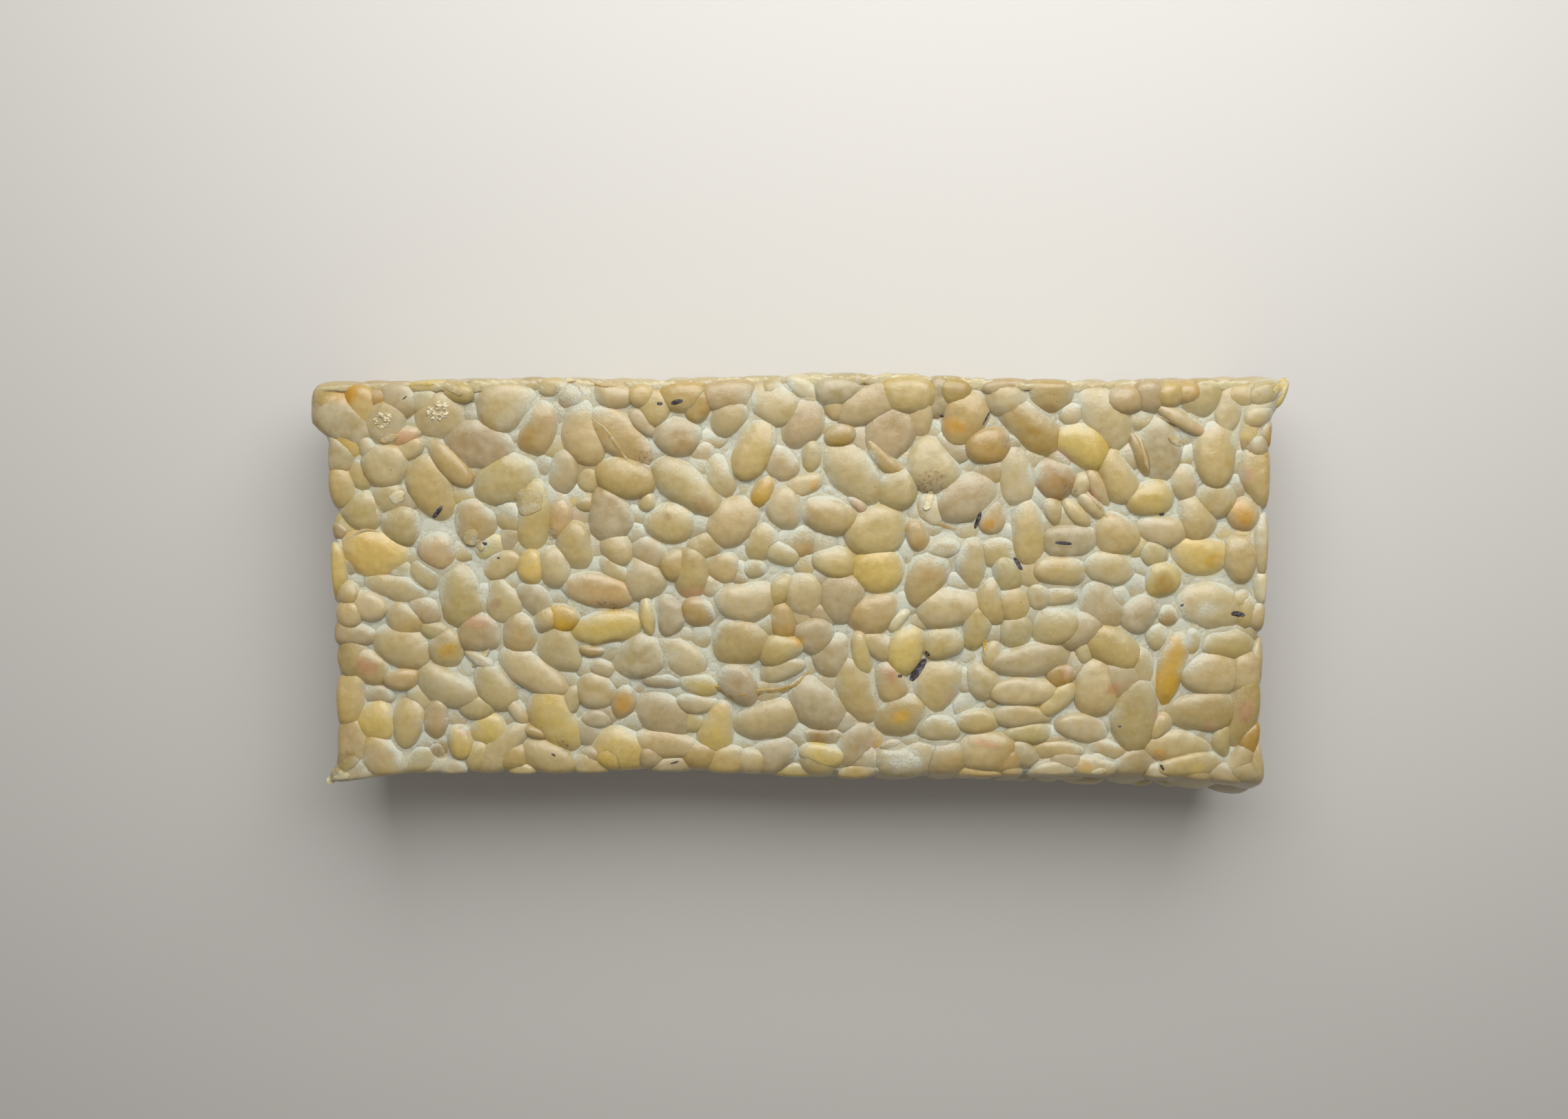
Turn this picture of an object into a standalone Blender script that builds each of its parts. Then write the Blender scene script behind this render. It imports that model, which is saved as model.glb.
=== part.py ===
"""A cake of tempeh: cooked soybeans bound into one block by white mycelium, as it comes out of its bag.

Units are metres, +Z is up, +X runs along the cake and the cake lies on its flat underside. The block is
one solid. A gridded box is rounded, the beans that press against the bag are raised on it as a relief,
and the bag's own form is laid over that: sides that swell and corners drawn out into small ears.
"""

import math

import bmesh
import bpy
import numpy as np

# Driving dimensions of the block, before the bag's swelling and ears.
LENGTH = 0.1710
WIDTH = 0.0725
THICKNESS = 0.0260
EDGE_RADIUS = 0.0035
CELL = 0.0025

# The beans that show: their usual half sizes along and across, how much they vary, and the relief's depth.
BEAN_HALF_LENGTH = 0.0066
BEAN_HALF_WIDTH = 0.0049
BEAN_VARIATION = 0.12
RELIEF_DEPTH = 0.0021
BEAN_COVER = 1.02
CROWN_FLATNESS = 1.3
BEAN_SEED = 7
SMALLEST_BEAN = 0.7
LARGEST_BEAN = 1.35
RELAX_STEPS = 60
RELAX_RATE = 0.45

# The bag's form. The sides swell, most of all at one height, and draw in below it. Heights are shares of
# the thickness.
SIDE_SWELL = 0.0010
SWELL_HEIGHT = 0.55
SWELL_REACH = 0.55
FOOT_DRAW_IN = 0.0012
FOOT_HEIGHT = 0.5

# The front side leans out, more and more between these two places along it, and flares at both ends.
FRONT_BULGE = 0.0050
FRONT_BULGE_FROM = -0.045
FRONT_BULGE_TO = 0.074
FRONT_BULGE_HEIGHT = 0.50
FRONT_BULGE_REACH = 0.30
FRONT_FLARE = 0.0012
FRONT_SIDE = (0.4, 1.0)

# Long shallow waves: depth, radians for each metre along X, and phase; on the top, radians along Y as well.
OUTLINE_WAVES = ((0.0006, 41.0, 1.3), (0.0004, 97.0, 0.4))
TOP_WAVES = ((0.0005, 55.0, 2.1, 70.0), (0.0005, 23.0, 0.0, 0.0))

# Each ear: which corner it is at (signs of X and Y), how far it is drawn out along X and along Y, and how
# far from the corner, along Y, it is still full and where it has gone.
EARS = {
    "back_left": (-1, 1, 0.0034, 0.0004, 0.0075, 0.0115),
    "back_right": (1, 1, 0.0036, 0.0006, 0.0005, 0.0105),
    "front_left": (-1, -1, 0.0020, 0.0018, 0.0005, 0.0050),
    "front_right": (1, -1, 0.0014, 0.0010, 0.0010, 0.0080),
}
EAR_REACH_X = 0.016
EAR_HEIGHT = 0.80
EAR_SPREAD = 0.34

# The flat underside: the relief fades out below this height.
FOOT_FADE = 0.0045

BEAN_COLOUR = (0.56, 0.45, 0.26, 1.0)
BEAN_ROUGHNESS = 0.45


def clear_scene():
    for obj in list(bpy.data.objects):
        bpy.data.objects.remove(obj)


def smoothstep(value, low, high):
    share = np.clip((value - low) / (high - low), 0.0, 1.0)
    return share * share * (3.0 - 2.0 * share)


def inner_box():
    """Half extents of the box that the rounded edges are swept round, and the height of its middle."""
    half = np.array([LENGTH, WIDTH, THICKNESS]) / 2
    return half - EDGE_RADIUS, np.array([0.0, 0.0, THICKNESS / 2])


def rounded(points):
    """Points on the sharp box, brought onto the box with rounded edges, and the surface normal at each."""
    half, middle = inner_box()
    core = np.clip(points - middle, -half, half) + middle
    out = points - core
    normals = out / np.maximum(np.linalg.norm(out, axis=1, keepdims=True), 1e-9)
    return core + EDGE_RADIUS * normals, normals


def bean_sites():
    """Middle, normal and the two half-axis directions of each bean, spread evenly over the rounded box."""
    random = np.random.default_rng(BEAN_SEED)
    half = np.array([LENGTH, WIDTH, THICKNESS]) / 2
    pairs = ((1, 2), (0, 2), (0, 1))
    areas = np.array([4 * half[a] * half[b] for a, b in pairs])
    count = int(BEAN_COVER * 2 * areas.sum() / (math.pi * BEAN_HALF_LENGTH * BEAN_HALF_WIDTH))
    points = random.uniform(-1, 1, (count, 3)) * half
    axis = random.choice(3, count, p=areas / areas.sum())
    side = random.choice((-1.0, 1.0), count)
    points[np.arange(count), axis] = side * half[axis]
    points[:, 2] += THICKNESS / 2
    points, normals = rounded(points)

    spacing = 2 * math.sqrt(BEAN_HALF_LENGTH * BEAN_HALF_WIDTH)
    for _ in range(RELAX_STEPS):
        apart = points[:, None] - points[None]
        distance = np.linalg.norm(apart, axis=2) + np.eye(count)
        push = np.clip(spacing - distance, 0.0, None) * (1 - np.eye(count))
        moved = points + RELAX_RATE * (apart / distance[..., None] * push[..., None]).sum(axis=1)
        points, normals = rounded(snapped(moved))

    lengthways = np.cross(normals, random.normal(size=(count, 3)))
    lengthways /= np.linalg.norm(lengthways, axis=1, keepdims=True)
    crossways = np.cross(normals, lengthways)
    size = random.normal(1.0, BEAN_VARIATION, (count, 2)).clip(SMALLEST_BEAN, LARGEST_BEAN)
    return {
        "middle": points,
        "lengthways": lengthways / (BEAN_HALF_LENGTH * size[:, :1]),
        "crossways": crossways / (BEAN_HALF_WIDTH * size[:, 1:]),
        "upright": normals / BEAN_HALF_LENGTH,
    }


def snapped(points):
    """Points near the block, moved straight out onto the nearest side of the sharp box."""
    half = np.array([LENGTH, WIDTH, THICKNESS]) / 2
    middle = np.array([0.0, 0.0, THICKNESS / 2])
    local = np.clip(points - middle, -half, half)
    gap = half - np.abs(local)
    nearest = gap.argmin(axis=1)
    rows = np.arange(len(local))
    local[rows, nearest] = np.where(local[rows, nearest] < 0, -1, 1) * half[nearest]
    return local + middle


def relief(points, sites):
    """How far below the crowns the surface lies at each point: 0 on top of a bean, RELIEF_DEPTH between them."""
    crown = np.zeros(len(points))
    for middle, *axes in zip(*(sites[k] for k in ("middle", "lengthways", "crossways", "upright"))):
        away = points - middle
        reach = sum((away @ axis) ** 2 for axis in axes)
        crown = np.maximum(crown, 1.0 - np.clip(reach, 0.0, 1.0) ** CROWN_FLATNESS)
    return RELIEF_DEPTH * (1.0 - crown)


def bag_form(points):
    """The rounded box as the bag leaves it: swollen sides, ears at the corners and long, shallow waves."""
    x, y, z = points.T.copy()
    height = z / THICKNESS
    along = x / (LENGTH / 2)
    across = y / (WIDTH / 2)

    swell = SIDE_SWELL * np.cos(math.pi / 2 * np.clip((height - SWELL_HEIGHT) / SWELL_REACH, -1, 1))
    swell -= FOOT_DRAW_IN * (1 - smoothstep(height, 0.0, FOOT_HEIGHT))
    wave = sum(depth * np.sin(rate * x + phase) for depth, rate, phase in OUTLINE_WAVES)
    lean = FRONT_BULGE * smoothstep(x, FRONT_BULGE_FROM, FRONT_BULGE_TO)
    lean *= np.exp(-(((height - FRONT_BULGE_HEIGHT) / FRONT_BULGE_REACH) ** 2))

    new_x = x + swell * along * np.abs(along)
    new_y = y + (swell + wave) * across * np.abs(across)
    new_y -= (lean + FRONT_FLARE * along**4) * smoothstep(-across, *FRONT_SIDE)
    for side_x, side_y, out_x, out_y, full, gone in EARS.values():
        near_x = smoothstep(side_x * x, LENGTH / 2 - EAR_REACH_X, LENGTH / 2)
        near_y = smoothstep(side_y * y, WIDTH / 2 - gone, WIDTH / 2 - full)
        pull = near_x * near_y * np.exp(-(((height - EAR_HEIGHT) / EAR_SPREAD) ** 2))
        new_x += side_x * out_x * pull
        new_y += side_y * out_y * pull

    rise = sum(depth * np.sin(kx * x + phase) * np.cos(ky * y) for depth, kx, phase, ky in TOP_WAVES)
    return np.column_stack((new_x, new_y, z + height * rise))


def gridded_box(bm):
    """A box of LENGTH x WIDTH x THICKNESS standing on z = 0, cut into a grid of CELL."""
    bmesh.ops.create_cube(bm, size=1.0)
    bmesh.ops.translate(bm, verts=bm.verts, vec=(0.0, 0.0, 0.5))
    bmesh.ops.scale(bm, verts=bm.verts, vec=(LENGTH, WIDTH, THICKNESS))
    for axis, size, start in ((0, LENGTH, -LENGTH / 2), (1, WIDTH, -WIDTH / 2), (2, THICKNESS, 0.0)):
        cells = round(size / CELL)
        for cut in range(1, cells):
            place = [0.0, 0.0, 0.0]
            normal = [0.0, 0.0, 0.0]
            place[axis] = start + size * cut / cells
            normal[axis] = 1.0
            geometry = bm.verts[:] + bm.edges[:] + bm.faces[:]
            bmesh.ops.bisect_plane(bm, geom=geometry, plane_co=place, plane_no=normal, dist=1e-7)


def flatten_underside(bm):
    """Joins the coplanar faces that the cake rests on into one."""
    resting = [face for face in bm.faces if all(vert.co.z < 1e-6 for vert in face.verts)]
    bmesh.ops.dissolve_faces(bm, faces=resting, use_verts=True)


def centred(points):
    """Points moved so that the middle of their box is over the origin and the lowest one is at z = 0."""
    low, high = points.min(axis=0), points.max(axis=0)
    return points - [(low[0] + high[0]) / 2, (low[1] + high[1]) / 2, low[2]]


def tempeh_mesh():
    bm = bmesh.new()
    gridded_box(bm)
    points, normals = rounded(np.array([vert.co[:] for vert in bm.verts]))
    depth = relief(points, bean_sites()) * smoothstep(points[:, 2], 0.0, FOOT_FADE)
    points = centred(bag_form(points - normals * depth[:, None]))
    for vert, point in zip(bm.verts, points):
        vert.co = point
    flatten_underside(bm)
    bmesh.ops.recalc_face_normals(bm, faces=bm.faces)
    mesh = bpy.data.meshes.new("tempeh_cake")
    bm.to_mesh(mesh)
    bm.free()
    mesh.shade_smooth()
    return mesh


def soybean_material():
    material = bpy.data.materials.new("bound_soybeans")
    material.use_nodes = True
    shader = material.node_tree.nodes["Principled BSDF"]
    shader.inputs["Base Color"].default_value = BEAN_COLOUR
    shader.inputs["Roughness"].default_value = BEAN_ROUGHNESS
    shader.inputs["Metallic"].default_value = 0.0
    return material


def main():
    clear_scene()
    cake = bpy.data.objects.new("tempeh_cake", tempeh_mesh())
    cake.data.materials.append(soybean_material())
    bpy.context.scene.collection.objects.link(cake)


main()
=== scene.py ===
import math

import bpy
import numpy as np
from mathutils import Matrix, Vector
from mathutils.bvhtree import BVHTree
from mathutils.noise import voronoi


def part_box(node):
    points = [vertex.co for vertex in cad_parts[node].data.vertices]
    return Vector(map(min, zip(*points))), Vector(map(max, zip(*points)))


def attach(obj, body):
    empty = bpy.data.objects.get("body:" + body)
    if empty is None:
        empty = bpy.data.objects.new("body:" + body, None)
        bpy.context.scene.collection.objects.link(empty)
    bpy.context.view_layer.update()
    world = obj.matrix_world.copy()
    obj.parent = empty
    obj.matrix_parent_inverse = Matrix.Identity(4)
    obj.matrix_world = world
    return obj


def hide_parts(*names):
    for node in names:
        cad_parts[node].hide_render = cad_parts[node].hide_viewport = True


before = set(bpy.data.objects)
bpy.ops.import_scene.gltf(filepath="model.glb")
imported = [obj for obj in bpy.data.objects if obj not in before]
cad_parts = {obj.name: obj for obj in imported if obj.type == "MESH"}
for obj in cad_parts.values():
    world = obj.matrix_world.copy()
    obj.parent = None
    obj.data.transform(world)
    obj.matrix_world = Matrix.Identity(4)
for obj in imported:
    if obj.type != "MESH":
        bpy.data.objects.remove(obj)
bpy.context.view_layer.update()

# The looks of a cake of tempeh: cooked soybeans bound by white mycelium.
#
# Everything is first laid out on a plain box with rounded edges. The beans of the top are laid one by one,
# the sides and the underside are packed with others until they are full, and small ones go deep into the gaps
# that are left. The beans overlap where they meet, and are flattened where the bag holds them in. The
# mycelium is a skin that sinks between them. Loose skins, crumbs and scars are put on the top, and the bag's
# form is laid over it all, as it is on the CAD solid.

MM = 0.001

# The box that the bag's form is laid over: the CAD solid's own size, less what the form adds to it.
CAD_LOW, CAD_HIGH = (np.array(corner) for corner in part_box("tempeh_cake"))
FORM_ADDS = np.array([6.54, 8.46, 0.62]) * MM
LENGTH, WIDTH, THICKNESS = CAD_HIGH - CAD_LOW - FORM_ADDS
HALF_BOX = np.array([LENGTH, WIDTH, THICKNESS]) / 2
BOX_MIDDLE = np.array([0.0, 0.0, THICKNESS / 2])
EDGE_RADIUS = 3.5 * MM

# The bag's form, as on the CAD solid: swollen sides that draw in at the foot, and a front that leans out
# more and more to the right and flares at both ends. Heights are shares of the thickness.
SIDE_SWELL = 1.0 * MM
SWELL_HEIGHT = 0.55
SWELL_REACH = 0.55
FOOT_DRAW_IN = 1.2 * MM
FOOT_HEIGHT = 0.5
FRONT_BULGE = 5.0 * MM
FRONT_BULGE_FROM = -45.0 * MM
FRONT_BULGE_TO = 74.0 * MM
FRONT_BULGE_HEIGHT = 0.50
FRONT_BULGE_REACH = 0.30
FRONT_FLARE = 1.2 * MM
FRONT_SIDE = (0.4, 1.0)

# Long shallow waves: depth, radians for each metre along X, and phase; on the top, radians along Y as well.
OUTLINE_WAVES = ((0.6 * MM, 41.0, 1.3), (0.4 * MM, 97.0, 0.4))
TOP_WAVES = ((0.5 * MM, 55.0, 2.1, 70.0), (0.5 * MM, 23.0, 0.0, 0.0))

# Each ear: which corner it is at (signs of X and Y), how far it is drawn out along X and along Y, and how
# far from the corner, along Y, it is still full and where it has gone.
EARS = {
    "back_left": (-1, 1, 3.4 * MM, 0.4 * MM, 7.5 * MM, 11.5 * MM),
    "back_right": (1, 1, 3.6 * MM, 0.6 * MM, 0.5 * MM, 10.5 * MM),
    "front_left": (-1, -1, 2.0 * MM, 1.8 * MM, 0.5 * MM, 5.0 * MM),
    "front_right": (1, -1, 1.4 * MM, 1.0 * MM, 1.0 * MM, 8.0 * MM),
}
EAR_REACH_X = 16.0 * MM
EAR_HEIGHT = 0.80
EAR_SPREAD = 0.34

# The beans of the top: what their outlines grow by to reach under their neighbours, how thick they are for
# their width, how far from upright, and how unevenly deep they lie.
BEAN_SEED = 11
LAID_GROWTH = 1.17
THICK_SHARE = 0.50
LEAST_THICK = 2.4 * MM
TILT = 0.22
SUNK_VARIATION = 0.22
UNFORM_STEPS = 6
RIM_INSET = 0.9 * MM

# The shape of any bean: how full its outline and its profile are, how firmly the bag presses its crown, and
# how egg-shaped, bent and lumpy it is.
OUTLINE_POWER = 2.15
PROFILE_POWER = 2.2
WALL_POWER = 5.0
PRESSED = 0.87
PRESSED_UNDER = 0.75
PRESSED_FLAT = 0.60
EGG = 0.09
BEND = 0.15
BEND_MIDDLE = 0.3
LUMP = 0.042
LUMP_RATE = 3.0
LEAST_REACH = 0.6 * MM
FAR = 1.0
FACING = 0.7

# The beans that are strewn over the sides and the underside: how much of the skin they cover, their usual
# half sizes, how those vary (spread, least and most), and how deep the crowns are sunk (usual and most).
STREWN_COVER = 1.16
BEAN_HALF = np.array([5.3, 3.9, 3.4]) * MM
STREWN_SIZES = (0.13, 0.66, 1.35)
STREWN_STRETCH = (0.10, 0.80, 1.30)
STREWN_SUNK = (0.35, 1.2)
UNDER_SUNK_SHARE = 0.5

# How they are packed: the samples' grid, the steps, how many beans a sample is tried against and how often
# those are looked up, and how fast and how far the beans move, turn and grow.
PACK_CELL = 1.4 * MM
PACK_STEPS = 24
CANDIDATES = 12
LOOK_UP_EVERY = 4
OPEN_REACH = 1.0
PACK_RATE = 0.8
TURN_RATE = 0.35
GROW_RATE = 0.12
GROW_LIMITS = (0.5, 2.0)
THICK_GROW = 0.5
SIZE_LIMITS = (0.80, 1.25)
LEAST_SAMPLES = 3

# The beans that show deep in the gaps between those: how deep a gap must be, how far apart they lie, their
# half sizes and how those vary, and how deep their crowns are.
GAP_DEPTH = 1.5 * MM
GAP_SOFTENING = 5
FILLER_APART = 3.6 * MM
FILLER_HALF = np.array([4.0, 3.1, 2.6]) * MM
FILLER_SIZES = (0.10, 0.75, 1.30)
FILLER_SUNK = (1.1 * MM, 2.0 * MM)

# The mycelium: its grid, how softly it fills the gaps, and how deep it lies under the beans.
SKIN_CELL = 0.62 * MM
DEEPEST = 3.0 * MM
LOWEST_FILL = 2.1 * MM
SOFTENING = 3
MYCELIUM_SUNK = 0.14 * MM
FELT_WAVE_DEPTH = 0.06 * MM
FELT_WAVES = ((55.0, 150.0, 1.8), (140.0, -60.0, 0.4), (-210.0, 190.0, 2.9))
UNDER_BEANS = 2.0
BURIED = 0.4 * MM

# Where it is open to the air, it climbs the beans by a fillet. Elsewhere it goes straight in under them.
FILLET = 0.35 * MM
MIN_FILLET = 0.01 * MM
OPEN_LEAST = 0.05 * MM
OPEN_SOFTENING = 2
OPEN_SHARE = (0.05, 0.35)

# How deep the felt is where it is fully white, how white it is at least, and where it counts as seen.
FELT_DEPTH = 0.7 * MM
FELT_LEAST = 0.55
VISIBLE_FELT = 0.12

# Segments and rings of the beans, on the top and elsewhere, and how much closer the rings are on the crown.
TOP_MESH = (28, 16)
SIDE_MESH = (20, 12)
FILLER_MESH = (16, 10)
RING_BIAS = 1.30

# Colours as the eye sees them in soft daylight, in sRGB.
TONES = {
    "cream": (204, 188, 149),
    "pale": (203, 187, 148),
    "straw": (202, 184, 132),
    "yellow": (218, 198, 128),
    "olive": (192, 176, 124),
    "beige": (189, 171, 136),
    "grey": (187, 172, 138),
    "tan": (197, 175, 126),
    "peach": (204, 180, 136),
    "ochre": (184, 155, 82),
    "gold": (213, 176, 60),
    "brown": (177, 145, 86),
    "white": (224, 215, 184),
    "orange": (212, 165, 50),
    "pink": (214, 174, 140),
    "salmon": (201, 160, 126),
    "scar": (140, 106, 56),
    "bright": (222, 213, 160),
}

# Which tones each kind of bean has. Each kind is one piece.
KINDS = {
    "cream_beans": ("cream", "pale", "white"),
    "straw_beans": ("straw", "yellow"),
    "golden_beans": ("gold", "ochre", "tan", "brown", "peach"),
    "grey_beans": ("grey", "olive", "beige"),
}

# What the strewn beans are: tones and how often each comes.
STREWN_TONES = {
    "straw": 0.24, "cream": 0.20, "beige": 0.12, "pale": 0.11, "tan": 0.10,
    "olive": 0.08, "grey": 0.07, "yellow": 0.04, "ochre": 0.03, "gold": 0.01,
}

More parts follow.
